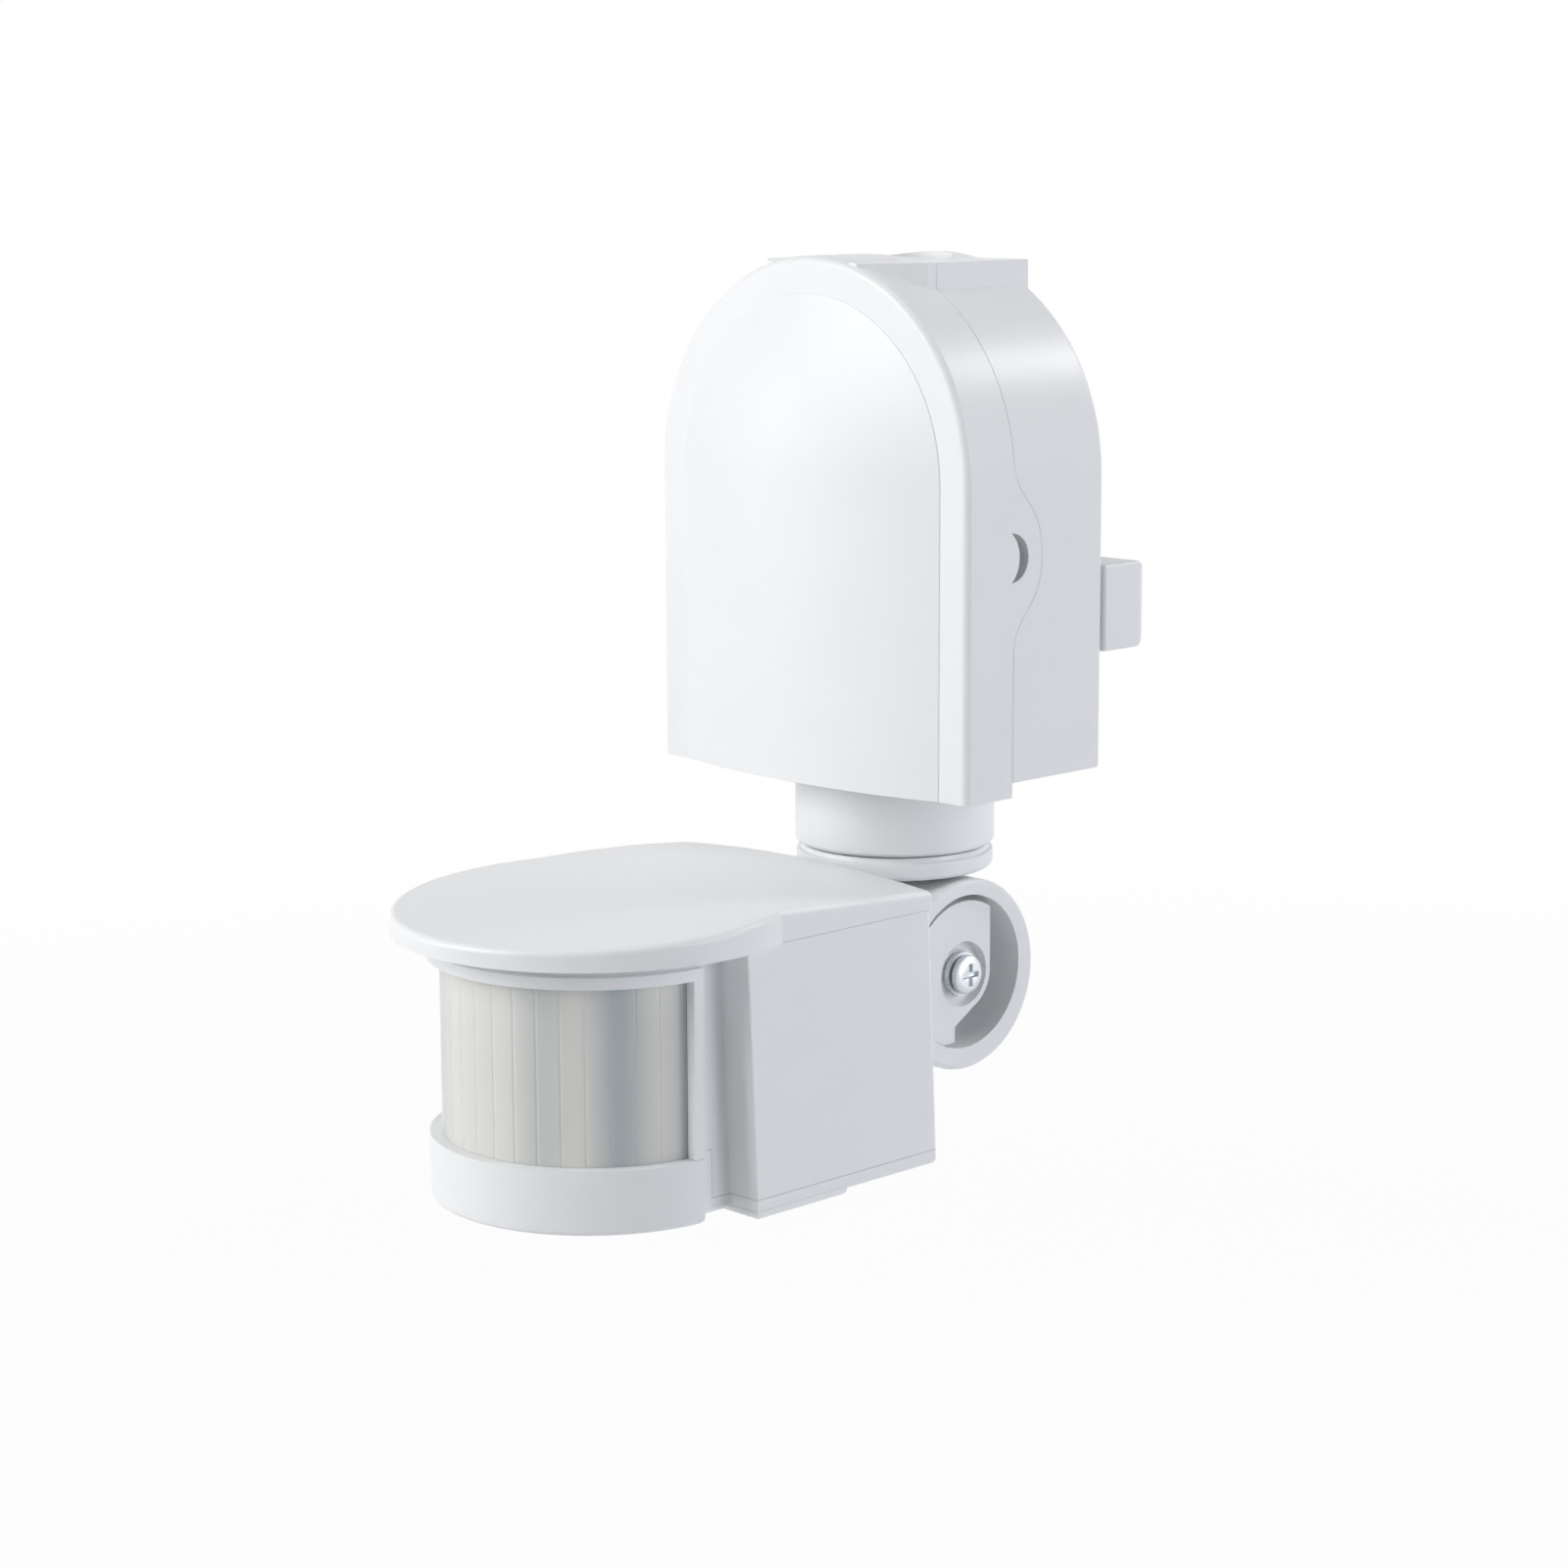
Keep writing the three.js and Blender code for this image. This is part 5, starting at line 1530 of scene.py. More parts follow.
class Fasteners:
    """Screws and nuts, each made upright at the origin with its head up."""

    def pan_head(self, shank: float, head: float, height: float, length: float) -> Piece:
        """Makes a screw whose domed head ends at the origin.

        Args:
            shank: Radius of the shank.
            head: Radius of the head.
            height: Height of the head.
            length: Length from end to end.

        Returns:
            The screw.
        """
        crown, flat, steps = height * 0.55, head * 0.55, 6
        section: list[Flat] = [(0, -length), (shank - 0.3, -length), (shank, -length + 0.4)]
        section += [(shank, -height), (head - 0.1, -height), (head, -height + 0.15)]
        for step in range(steps + 1):
            turn = math.radians(90 * step / steps)
            reach = flat + head * 0.45 * math.cos(turn)
            section.append((reach, -crown * (1 - math.sin(turn))))
        section.append((0, 0))
        made = ring_profile((0, 0), section).spun((0, 0, 0), (0, 0, 1), 48)
        long, thin, deep = head * 0.58, head * 0.13, height * 0.6
        across = Piece.block((-long, -thin, -deep), (long, thin, 1))
        along = Piece.block((-thin, -long, -deep), (thin, long, 1))
        return made.cut(across, along).finished(0.06)

    def hexagon_nut(self, flats: float, thickness: float, bore: float) -> Piece:
        """Makes a nut with rounded corners, whose outer face ends at the origin.

        Args:
            flats: Size across its flats.
            thickness: Its thickness.
            bore: Radius of its bore.

        Returns:
            The nut.
        """
        corner = flats / math.sqrt(3)
        nut = Piece.rod(Plane.PLAN, corner, (-thickness, 0), (0, 0), 6)
        cone = [(0, -thickness - OVER), (corner + OVER, -thickness - OVER), (corner + OVER, -0.9)]
        cone += [(corner - 0.55, 0), (0, 0)]
        chamfer = ring_profile((0, 0), cone).spun((0, 0, 0), (0, 0, 1), 64)
        nut.combined(Join.KEEP_COMMON, chamfer)
        nut.cut(Piece.rod(Plane.PLAN, bore, (-thickness - OVER, OVER), (0, 0), 40))
        return nut.finished(0.08)


# ------------------------------------------------------------------------------- head
@dataclass
class Head(Assembly):
    """The sensor head: body, visor roof, floor with dials, and the round lens."""

    reach: float = 19.1
    length: float = 37.1
    half: float = 26.6
    lean: float = 0.045
    corner: float = 1.2
    edge: float = 0.06  # rounding that the mould leaves on an edge
    front_round: float = 0.35
    low_edge: float = 0.9
    band_edge: float = 0.7
    top: float = 15.0
    bottom: float = -23.4
    wall: float = 2.2
    floor: float = 2.2
    gap: float = 0.3
    throat: float = 21.1
    band_radius: float = 23.9
    band_top: float = -14.1
    window_top: float = 11.4
    lip: float = 1.7
    ring_step: float = 0.9
    ring_width: float = 3.5
    lens_radius: float = 22.1
    lens_sheet: float = 0.9
    window_half: float = 83.3
    post_back: float = 87.3
    lens_tuck: float = 0.6
    visor_radius: float = 29.0
    roof_peak: float = 20.7
    dome_radius: float = 267.0
    dome_ahead: float = 51.2
    dome_reach: float = 48.0
    dome_grid: float = 4.0  # size of the cells that the top is cut into, so that it can swell
    dome_cells: int = 10  # cells from its middle to each side
    roof_edge: float = 0.9
    seam: float = 0.04
    boss_half: float = 3.1
    boss_inset: float = 4.6
    boss_sink: Flat = (0.6, 0.8)  # how far it stays off the middle of the rear and front wall
    screw_bore: float = 1.5
    screw_seat: Flat = (2.8, 1.4)  # radius of the hole for a screw's head, and its depth
    roof_pin: Flat = (1.1, 3.0)  # radius of the roof's pins, and how far they hang down
    wire_hole: Flat = (-7.0, 3.0)  # its x, and its radius
    arm_half: float = 8.0
    arm_round: float = 1.6
    pad_length: float = 17.8
    pad_drop: float = 0.75
    board_post: Flat = (2.3, 3.0)  # radius of the board's posts, and their inset from its edges
    dial_radius: float = 4.0
    dial_play: float = 0.1  # by which the visible knob is smaller
    dial_round: float = 0.35
    dial_edge: float = 0.08
    dial_recess: Flat = (1.6, 0.8)  # how far it reaches past a dial, and its depth
    dial_slot: Flat = (2.8, 0.5)  # half length and half width of the pointer slot
    dial_shaft: Flat = (1.4, 0.8)  # radius of the shaft above the knob, and its length
    flute: Flat = (0.6, 0.35)  # radius of a flute, and how far its centre lies outside the knob
    flutes: int = 16
    dial_turn: float = 135.0  # to each side, in degrees
    ticks: int = 9
    tick_length: Flat = (1.0, 1.7)  # of the inner ones and of those at both ends
    tick_start: float = 2.0  # outside the dial
    tick_half: float = 0.14
    tick_proud: float = 0.13
    lens_steps: int = 168
    case_screw: Point = (1.2, 2.5, 1.1)  # radii of shank and head, and height of the head
    case_screw_length: float = 10.1
    mouth_overlap: float = 2.5
    body: Span = measured("head_body")
    bolt: Span = measured("pivot_screw")

    @property
    def pivot(self) -> Flat:
        """y and z of the tilt axis, from which the sizes of the head are measured."""
        return (self.bolt.middle.y, self.bolt.middle.z)

    @property
    def lens_y(self) -> float:
        """y of the axis of the lens."""
        return self.body.low.y + self.band_radius

    @property
    def step_y(self) -> float:
        """y of the steps beside the lens, at the height of the tilt axis."""
        return self.pivot[0] - self.reach - self.length

    @property
    def back_y(self) -> float:
        """y of the back of the head, at the height of the tilt axis."""
        return self.pivot[0] - self.reach

    def z(self, local: float) -> float:
        """Turns a height above the tilt axis into one of the frame."""
        return self.pivot[1] + local

    def leaning_prism(self, inset: float, low: float, high: float) -> Piece:
        """Makes a solid on the plan of the body, which leans forward as it rises.

        Args:
            inset: How far the plan is drawn in.
            low: Height of its foot above the tilt axis.
            high: Height of its top.

        Returns:
            The solid.
        """
        shift = -self.lean * low
        half = self.half - inset
        corner = max(self.corner - inset / 2, 0.3)
        front = self.step_y + inset + shift
        back = self.back_y - inset + shift
        pen = Pen(Plane.PLAN, self.z(low), (-half, front))
        pen.line((half, front), (half, back - corner))
        pen.arc((half - corner, back - corner), 90, 8).line((-half + corner, back))
        pen.arc((-half + corner, back - corner), 90, 8)
        return pen.pulled((0, -self.lean * (high - low), high - low))

    def on_circle(self, radius: float, degrees: float) -> Flat:
        """Finds a place round the lens, counted from straight ahead."""
        turn = math.radians(degrees)
        return (radius * math.sin(turn), self.lens_y - radius * math.cos(turn))

    def mouth(self, radius: float, throat: float, back_angle: float, span: Flat) -> Piece:
        """Makes a solid on the plan of the lens mouth and the throat behind it.

        Args:
            radius: Radius of the round front.
            throat: Half width of the throat.
            back_angle: Where the round front ends, from straight ahead.
            span: Its two heights above the tilt axis.

        Returns:
            The solid.
        """
        x, y = self.on_circle(radius, back_angle)
        back = self.step_y + self.wall + 1
        pen = Pen(Plane.PLAN, self.z(span[0]), (-throat, back)).line((-throat, y), (-x, y))
        pen.arc((0, self.lens_y), 2 * back_angle, 96).line((throat, y), (throat, back))
        return pen.pulled((0, 0, span[1] - span[0]))

    def sector(self, radius: float, half_angle: float, span: Flat) -> Piece:
        """Makes a wedge in front of the lens axis.

        Args:
            radius: Its radius.
            half_angle: Its reach to each side of straight ahead.
            span: Its two heights above the tilt axis.

        Returns:
            The wedge.
        """
        x, y = self.on_circle(radius, half_angle)
        pen = Pen(Plane.PLAN, self.z(span[0]), (0, self.lens_y)).line((-x, y))
        pen.arc((0, self.lens_y), 2 * half_angle, 96)
        return pen.pulled((0, 0, span[1] - span[0]))

    def round_bar(self, radius: float, span: Flat) -> Piece:
        """Makes a round bar on the lens axis, between two heights above the tilt axis."""
        heights = (self.z(span[0]), self.z(span[1]))
        return Piece.rod(Plane.PLAN, radius, heights, (0, self.lens_y), 192)

    def bosses(self) -> list[Flat]:
        """Places of the four screw bosses."""
        x = self.half - self.boss_inset
        rear, front = self.back_y - self.boss_inset, self.step_y + self.boss_inset
        return [(-x, rear), (x, rear), (-x, front), (x, front)]

    @property
    def ring_inner(self) -> float:
        """Inner radius of the ring round the lens."""
        return self.band_radius - self.ring_width

    @property
    def throat_inner(self) -> float:
        """Half width of the room in the throat."""
        return self.throat - self.wall

    @property
    def inner_back_angle(self) -> float:
        """Where the round room behind the lens meets the throat."""
        return math.degrees(math.asin(self.throat_inner / self.ring_inner))

    def head_shell(self, knuckle: Knuckle) -> Piece:
        """Makes the body: walls, lens ring and posts, bosses, and the arm with the right ear.

        Args:
            knuckle: The knuckle that the ear belongs to.

        Returns:
            The body.
        """
        low, top = self.bottom + self.floor + self.seam, self.top
        shell = self.leaning_prism(0, low, top)
        middle, upright = self.back_y - self.length / 2, (top - low) / 2
        shell.edges_rounded(
            self.front_round, lambda a, b: abs(a.z - b.z) > upright and max(a.y, b.y) < middle, 3
        )
        shell.add(self.mouth(self.band_radius, self.throat, self.post_back, (low, top)))
        room = self.leaning_prism(self.wall, low - 2, top + 2)
        inner = (self.ring_inner, self.throat_inner, self.inner_back_angle)
        shell.cut(room.add(self.mouth(*inner, (low - 2, top + 2))))
        window = (self.band_top - 5, self.window_top)
        shell.cut(self.sector(self.band_radius + 2, self.window_half, window))
        front = self.step_y - self.mouth_overlap
        ceiling = self.z(self.band_top + self.seam)
        shell.cut(
            Piece.block(
                (-self.half - 1, self.body.low.y - 5, ceiling - 30), (self.half + 1, front, ceiling)
            )
        )
        above = (self.window_top + self.lip, top + 1)
        over = self.sector(self.band_radius + 2, self.window_half + 10, above)
        core = self.band_radius - self.ring_step
        shell.cut(over.cut(self.round_bar(core, (self.window_top, top + 2))))
        slot = self.sector(
            self.lens_radius + self.seam,
            self.window_half + 1.3 * self.lens_tuck,
            (self.band_top - 1, self.window_top),
        )
        core = self.lens_radius - self.lens_sheet - self.seam
        shell.cut(slot.cut(self.round_bar(core, (self.band_top - 1, self.window_top + 1))))
        for x, y in self.bosses():
            shell.add(self.boss(x, y, low))
        for x, y in self.bosses():
            span = (self.z(low - OVER), self.z(top + OVER))
            shell.cut(Piece.rod(Plane.PLAN, self.screw_bore, span, (x, y), 32))
        hole_x, hole_radius = self.wire_hole
        y, axis_y = self.back_y, self.pivot[0]
        hole = Piece.rod(Plane.FRONT, hole_radius, (y - 4.2, y + 2), (hole_x, self.pivot[1]), 48)
        shell.cut(hole)
        arm = Piece.block(
            (knuckle.face_gap, y - SINK, self.z(-self.arm_half)),
            (knuckle.half_width, axis_y, self.z(self.arm_half)),
        )
        arm.edges_rounded(
            self.arm_round, lambda a, b: abs(a.x - b.x) > 1 and abs(a.y - axis_y) > 1
        )
        shell.add(knuckle.ear(1, arm))
        return shell.finished(self.edge)

    def boss(self, x: float, y: float, low: float) -> Piece:
        """Makes a screw boss, sunk into the two walls beside it.

        Args:
            x: Its centre.
            y: Its centre.
            low: Height of its foot above the tilt axis.

        Returns:
            The boss.
        """
        side = 1 if x > 0 else -1
        rear = y > self.step_y + self.length / 2
        off_rear, off_front = (self.wall / 2 + sink for sink in self.boss_sink)
        out_x = side * (self.half - self.wall / 2)
        out_y = self.back_y - off_rear if rear else self.step_y + off_front
        in_x = x - side * self.boss_half
        in_y = y - self.boss_half if rear else y + self.boss_half
        (x0, x1), (y0, y1) = sorted((in_x, out_x)), sorted((in_y, out_y))
        return Piece.block((x0, y0, self.z(low)), (x1, y1, self.z(self.top)))

    def roof(self) -> Piece:
        """Makes the domed roof, whose round visor shades the lens."""
        base, rise = self.z(self.top + self.seam), self.dome_reach**2 / (2 * self.dome_radius)
        flat = self.z(self.roof_peak) - rise
        half, radius = self.half, self.visor_radius
        back = self.back_y
        turn = math.degrees(math.asin(half / radius))
        y = self.lens_y + radius * math.cos(math.radians(turn))
        pen = Pen(Plane.PLAN, base, (-half + self.corner, back))
        pen.arc((-half + self.corner, back - self.corner), 90, 8).line((-half, y))
        pen.arc((0, self.lens_y), 360 - 2 * turn, 128).line((half, back - self.corner))
        pen.arc((half - self.corner, back - self.corner), 90, 8)
        plate = pen.pulled((0, 0, flat - base))
        plate.edges_rounded(self.roof_edge, Axis.Z.level(flat), 5)
        self.dome(plate, flat, rise)
        pin, hang = self.roof_pin
        for at in self.bosses():
            plate.add(Piece.rod(Plane.PLAN, pin, (self.z(self.top - hang), base + 1), at, 24))
        return plate.cleaned().shaded()

    def dome(self, plate: Piece, flat: float, rise: float) -> None:
        """Swells the flat top of the roof into a shallow dome, and leaves its underside flat.

        Args:
            plate: The roof with a flat top.
            flat: Height of that top.
            rise: How far its highest point is raised.
        """
        crest = Vector((0, self.pivot[0] - self.dome_ahead, flat))
        below = flat - self.roof_edge - 0.1
        cells = range(-self.dome_cells, self.dome_cells + 1)
        with editing(plate.obj):
            for axis, cell in [(axis, cell) for axis in (0, 1) for cell in cells]:
                Pick.FACES.where(
                    plate.obj, lambda face: abs(face.calc_center_median().z / MM - flat) < NEAR
                )
                place = crest.copy()
                place[axis] += self.dome_grid * cell
                normal = (1, 0, 0) if axis == 0 else (0, 1, 0)
                bpy.ops.mesh.bisect(plane_co=metres(place), plane_no=normal)
            Pick.VERTICES.where(plate.obj, lambda vertex: vertex.co.z / MM < below)
            bpy.ops.mesh.hide(unselected=False)
            mesh = bmesh.from_edit_mesh(plate.obj.data)
            shown = [vertex for vertex in mesh.verts if not vertex.hide]
            top = min(shown, key=lambda vertex: (vertex.co / MM - crest).length)
            top.select_set(True)
            bmesh.update_edit_mesh(plate.obj.data)
            bpy.ops.transform.translate(
                value=metres((0, 0, rise)),
                use_proportional_edit=True,
                proportional_edit_falloff="INVERSE_SQUARE",
                proportional_size=self.dome_reach * MM,
            )
            bpy.ops.mesh.reveal(select=False)

    def floor_shell(self) -> Piece:
        """Makes the floor with the band under the lens and the pad with the dial holes."""
        inner = self.bottom + self.floor
        tray = self.leaning_prism(0, self.bottom, inner)
        tray.edges_rounded(self.low_edge, self.at_height(self.bottom), 5)
        pad_z = self.bottom - self.pad_drop
        pad_front = self.step_y - self.lean * self.bottom
        pad = Piece.block(
            (-self.half, pad_front, self.z(pad_z)),
            (self.half, pad_front + self.pad_length, self.z(self.bottom + SINK)),
        )
        pad.edges_rounded(self.low_edge, self.at_height(pad_z), 5)
        tray.add(pad)
        band = (self.bottom, self.band_top)
        outer = self.mouth(self.band_radius, self.throat, self.post_back, band)
        outer.edges_rounded(self.band_edge, self.at_height(self.bottom), 4)
        tray.add(outer)
        tray.cut(self.mouth(self.ring_inner, self.throat_inner, self.inner_back_angle, (inner, 0)))
        front = self.step_y - self.mouth_overlap - self.seam
        tray.cut(
            Piece.block(
                (-self.half - 1, front, self.z(inner)), (self.half + 1, front + 40, self.z(-5))
            )
        )
        board = Span.of("main_board")
        post, inset = self.board_post
        for x in (board.low.x + inset, board.high.x - inset):
            span, at = (self.z(inner - SINK), board.low.z - self.gap), (x, board.high.y - inset)
            tray.add(Piece.rod(Plane.PLAN, post, span, at, 32))
        underside = self.z(pad_z)
        through = (underside - OVER, self.z(inner + OVER))
        past, depth = self.dial_recess
        recess = (underside - OVER, underside + depth)
        for dial in self.dials():
            at = (dial.middle.x, dial.middle.y)
            tray.cut(
                Piece.rod(Plane.PLAN, self.dial_radius + self.gap, through, at),
                Piece.rod(Plane.PLAN, self.dial_radius + past, recess, at),
            )
        seat, sink = self.screw_seat
        for at in self.bosses():
            tray.cut(
                Piece.rod(Plane.PLAN, self.screw_bore, through, at, 32),
                Piece.rod(Plane.PLAN, seat, (underside - OVER, self.z(self.bottom + sink)), at, 48),
            )
        return tray.finished(self.edge)

    def at_height(self, local: float) -> EdgeTest:
        """Makes a test for edges that lie at one height above the tilt axis."""
        return Axis.Z.level(self.z(local))

    def dials(self) -> list[Span]:
        """Boxes of the three dials."""
        return [Span.of(f"{label}_dial") for label in ("time", "light", "range")]

    def graduations(self) -> Piece:
        """Makes the raised ticks round the three dials, longer at both ends of the scale."""
        underside = self.z(self.bottom - self.pad_drop)
        ticks: list[Piece] = []
        for dial in self.dials():
            x, y = dial.middle.x, dial.middle.y
            end = y - self.dial_radius - self.tick_start
            for index in range(self.ticks):
                turn = self.dial_turn * (2 * index / (self.ticks - 1) - 1)
                length = self.tick_length[index in (0, self.ticks - 1)]
                tick = Piece.block(
                    (x - self.tick_half, end - length, underside - self.tick_proud),
                    (x + self.tick_half, end, underside + 0.12),
                )
                ticks.append(tick.turned_round(turn, Axis.Z, (x, y, 0)))
        return ticks[0].add(*ticks[1:]).shaded()

    def lens(self) -> Piece:
        """Makes the lens: a thin round sheet of many narrow upright facets."""
        z0, z1 = self.z(self.band_top + self.seam), self.z(self.window_top - self.seam)
        half = self.window_half + self.lens_tuck
        outer, inner = self.lens_radius, self.lens_radius - self.lens_sheet
        pen = Pen(Plane.PLAN, z0, self.on_circle(outer, -half)).line(self.on_circle(inner, -half))
        pen.filled()
        bpy.ops.mesh.select_all(action="SELECT")
        bpy.ops.mesh.extrude_region_move(TRANSFORM_OT_translate={"value": metres((0, 0, z1 - z0))})
        bpy.ops.mesh.select_all(action="SELECT")
        bpy.ops.mesh.spin(
            steps=self.lens_steps,
            angle=math.radians(2 * half),
            center=metres((0, self.lens_y, 0)),
            axis=(0, 0, -1),
        )
        return pen.lifted().shaded()

    def dial(self, box: Span) -> Piece:
        """Makes a dial with a fluted rim and a pointer slot.

        Args:
            box: Box of the dial in the frame.

        Returns:
            The dial.
        """
        x, y = box.middle.x, box.middle.y
        foot, top = box.low.z, box.high.z
        radius = self.dial_radius - self.dial_play
        shaft, rise = self.dial_shaft
        knob = Piece.rod(Plane.PLAN, radius, (foot, top - rise), (x, y), 96)
        knob.edges_rounded(self.dial_round, lambda a, b: max(a.z, b.z) < foot + NEAR, 3)
        flute, outside = self.flute
        for index in range(self.flutes):
            turn, reach = 2 * math.pi * index / self.flutes, radius + outside
            centre = (x + reach * math.cos(turn), y + reach * math.sin(turn))
            knob.cut(Piece.rod(Plane.PLAN, flute, (foot - OVER, top), centre, 16))
        knob.add(Piece.rod(Plane.PLAN, shaft, (top - 1.5, top), (x, y), 32))
        long, thin = self.dial_slot
        knob.cut(Piece.block((x - long, y - thin, foot - 1), (x + long, y + thin, foot + 1)))
        return knob.finished(self.dial_edge)

    def build(self, knuckle: Knuckle, fasteners: Fasteners) -> None:
        """Makes every piece of the head and sets it in place.

        Args:
            knuckle: The knuckle between neck and head.
            fasteners: Maker of screws and nuts.
        """
        white = "white_plastic"
        self.hand_over(self.head_shell(knuckle), "head_shell", "head", white, "head_body")
        self.hand_over(self.roof(), "roof_with_visor", "head", white, "visor_roof")
        self.hand_over(self.floor_shell(), "head_floor", "head", white, "bottom_shell")
        self.hand_over(self.graduations(), "dial_scales", "head", white)
        self.hand_over(self.lens(), "ribbed_lens", "head", "lens_plastic", "fresnel_lens")
        for label in ("time", "light", "range"):
            node = f"{label}_dial"
            knob = self.dial(Span.of(node))
            self.hand_over(knob, f"{label}_knob", f"{label}_dial_knob", "dial_grey", node)
        pattern = fasteners.pan_head(*self.case_screw, self.case_screw_length)
        pattern.turned_round(180, Axis.X)
        for index in range(1, 5):
            node = f"head_screw_{index}"
            box = Span.of(node)
            screw = pattern.copied().moved((box.middle.x, box.middle.y, box.low.z))
            self.hand_over(screw, f"case_screw_{index}", "head", "steel", node)
        bpy.data.objects.remove(pattern.obj)


# ------------------------------------------------------------------------------- studio
@dataclass
class Studio:
    """Pale room, soft lamps and the camera."""

    target: Point = (-19.3, -26.7, -30.8)
    azimuth: float = 45.69
    elevation: float = 10.42
    roll: float = -0.22
    distance: float = 551.7
    lens: float = 81.0
    floor_below: float = 170.0

    def direction(self, azimuth: float, elevation: float) -> Vector:
        """Finds the direction from the object towards a place round it.

        Args:
            azimuth: Angle from straight in front, in degrees.
            elevation: Angle above the horizon, in degrees.

        Returns:
            A vector of length one.
        """
        turn, rise = math.radians(azimuth), math.radians(elevation)
        flat = math.cos(rise)
        return Vector((math.sin(turn) * flat, -math.cos(turn) * flat, math.sin(rise)))

    def camera(self) -> None:
        """Sets the camera up."""
        away = self.direction(self.azimuth, self.elevation)
        data = bpy.data.cameras.new("camera")
        data.lens = self.lens
        data.sensor_width = 36.0
        data.clip_start = 0.01
        camera = bpy.data.objects.new("camera", data)
        camera.location = metres(Vector(self.target) + away * self.distance)
        aim = (-away).to_track_quat("-Z", "Y").to_euler()
        aim.rotate_axis("Z", math.radians(self.roll))
        camera.rotation_euler = aim
        bpy.context.scene.collection.objects.link(camera)
        bpy.context.scene.camera = camera

    def lamp(
        self, name: str, angles: Flat, away: float, size: float, level: float, colour: str
    ) -> None:
        """Hangs one soft lamp that points at the object.

        Args:
            name: Its name.
            angles: Its azimuth and elevation, in degrees.
            away: How far from the object it hangs, in millimetres.
            size: Side of its square panel, in millimetres.
            level: How brightly it alone lights a white face that looks at it; one is white.
            colour: Its colour.
        """
        data = bpy.data.lights.new(name, "AREA")
        data.shape = "SQUARE"
        data.size = size * MM
        data.energy = level * (math.pi * away * MM) ** 2
        data.color = linear(colour)[:3]
        lamp = bpy.data.objects.new(name, data)
        lamp.location = metres(Vector(self.target) + self.direction(*angles) * away)
        lamp.rotation_euler = self.direction(*angles).to_track_quat("Z", "Y").to_euler()
        bpy.context.scene.collection.objects.link(lamp)

    def lamps(self) -> None:
        """Hangs three broad soft lamps and two small ones that draw a line on curved faces."""
        self.lamp("key_panel", (-22, 26), 1300, 800, 0.71, "FFFFFF")
        self.lamp("upper_panel", (18, 78), 1300, 900, 0.22, "FFFFFF")
        self.lamp("side_panel", (112, 12), 1200, 600, 0.38, "F6F8FF")
        self.lamp("front_strip", (-48, 3), 1300, 300, 0.09, "FFFFFF")
        self.lamp("rear_strip", (156, 35), 1200, 200, 0.17, "FFFFFF")

    def backdrop(self) -> None:
        """Makes the world white where it is seen, and plain grey light everywhere else."""
        world = bpy.data.worlds.new("room")
        world.use_nodes = True
        tree = world.node_tree
        tree.nodes.clear()
        grey = {"Color": linear("F4F6FA"), "Strength": 0.12}
        light = add_node(tree, "ShaderNodeBackground", grey, {})
        white = add_node(tree, "ShaderNodeBackground", {"Color": WHITE, "Strength": 1.0}, {})
        links = {0: self.seen_or_mirrored(tree), 1: light, 2: white}
        both = add_node(tree, "ShaderNodeMixShader", {}, links)
        add_node(tree, "ShaderNodeOutputWorld", {}, {"Surface": both})
        bpy.context.scene.world = world

    def seen_or_mirrored(self, tree: Tree) -> Source:
        """Adds up the rays that see the room straight, in a mirror or through glass.

        Args:
            tree: The node tree.

        Returns:
            Source that is one on such a ray.
        """
        path = add_node(tree, "ShaderNodeLightPath", {}, {})
        either: Source = path.outputs["Is Camera Ray"]
        for name in ("Is Glossy Ray", "Is Transmission Ray"):
            links = {0: either, 1: path.outputs[name]}
            either = add_node(tree, "ShaderNodeMath", {"operation": "MAXIMUM"}, links)
        return either

    def floor(self) -> None:
        """Lays the pale floor, well below the sensor, which hangs on its wall bar."""
        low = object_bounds()[0]
        drop_selection()
        bpy.ops.mesh.primitive_plane_add(size=8, location=(0, 0, low[2] - self.floor_below * MM))
        plane = bpy.context.active_object
        plane.name = "floor"
        material = bpy.data.materials.new("pale_floor")
        material.use_nodes = True
        tree = material.node_tree
        tree.nodes.clear()
        pale = {"Color": linear("F2F3F5"), "Roughness": 0.6}
        matt = add_node(tree, "ShaderNodeBsdfDiffuse", pale, {})
        glow = add_node(tree, "ShaderNodeEmission", {"Color": WHITE, "Strength": 1.0}, {})
        place = add_node(tree, "ShaderNodeTexCoord", {}, {}).outputs["Object"]
        length = {"operation": "LENGTH"}
        away = add_node(tree, "ShaderNodeVectorMath", length, {0: place}).outputs["Value"]
        # Close to the object the floor shows its shadow, and far from it plain white.
        fade = {"From Min": 0.5, "From Max": 1.1, "To Min": 0.93, "To Max": 1.0}
        white = add_node(tree, "ShaderNodeMapRange", fade, {"Value": away})
        links = {0: self.seen_or_mirrored(tree), 1: white}
        share = add_node(tree, "ShaderNodeMath", {"operation": "MULTIPLY"}, links)
        lit = add_node(tree, "ShaderNodeMixShader", {}, {0: share, 1: matt, 2: glow})
        # From below it lets everything through, so the underside of the object can be seen.
        clear = add_node(tree, "ShaderNodeBsdfTransparent", {}, {})
        below = add_node(tree, "ShaderNodeNewGeometry", {}, {}).outputs["Backfacing"]
        whole = add_node(tree, "ShaderNodeMixShader", {}, {0: below, 1: lit, 2: clear})
        add_node(tree, "ShaderNodeOutputMaterial", {}, {"Surface": whole})
        plane.data.materials.append(material)
        plane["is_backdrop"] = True

    def build(self) -> None:
        """Sets up the whole studio."""
        bpy.context.scene.view_settings.view_transform = "Standard"
        self.camera()
        self.lamps()
        self.backdrop()
        self.floor()


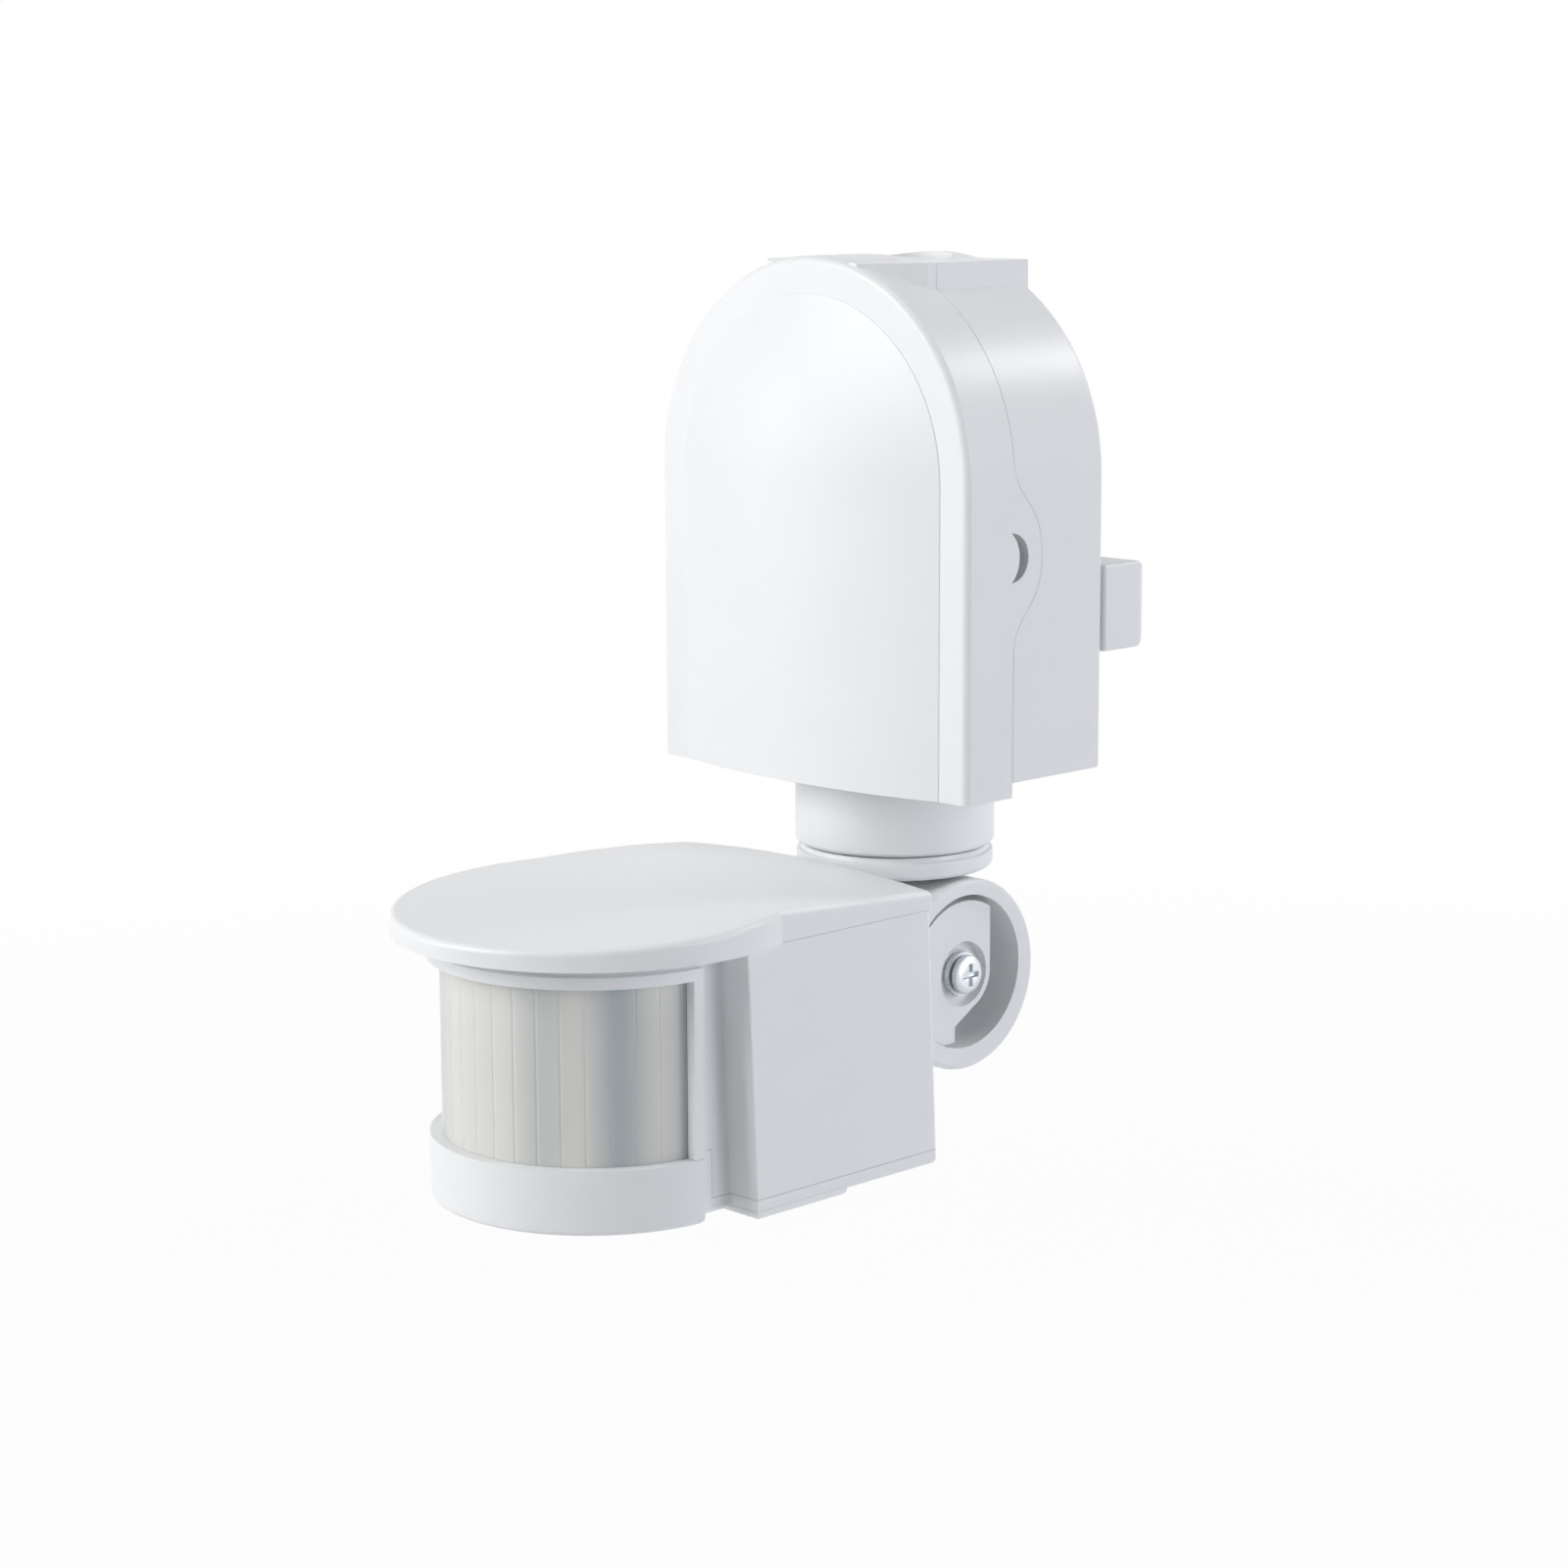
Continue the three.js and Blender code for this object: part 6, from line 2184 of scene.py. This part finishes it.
def main() -> None:
    """Loads the frame, builds each sub-assembly on it and lights it."""
    logging.basicConfig(level=logging.INFO, format="%(name)s %(message)s", stream=sys.stdout)
    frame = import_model()
    studio = Studio()
    studio.build()
    head = Span.of("head_body")
    palette = Palette((0.0, head.low.y + Head.band_radius))
    palette.dress_frame(frame)
    knuckle = Knuckle()
    fasteners = Fasteners()
    Housing(palette).build()
    Neck(palette).build(knuckle, fasteners)
    Head(palette).build(knuckle, fasteners)


if __name__ == "__main__":
    main()
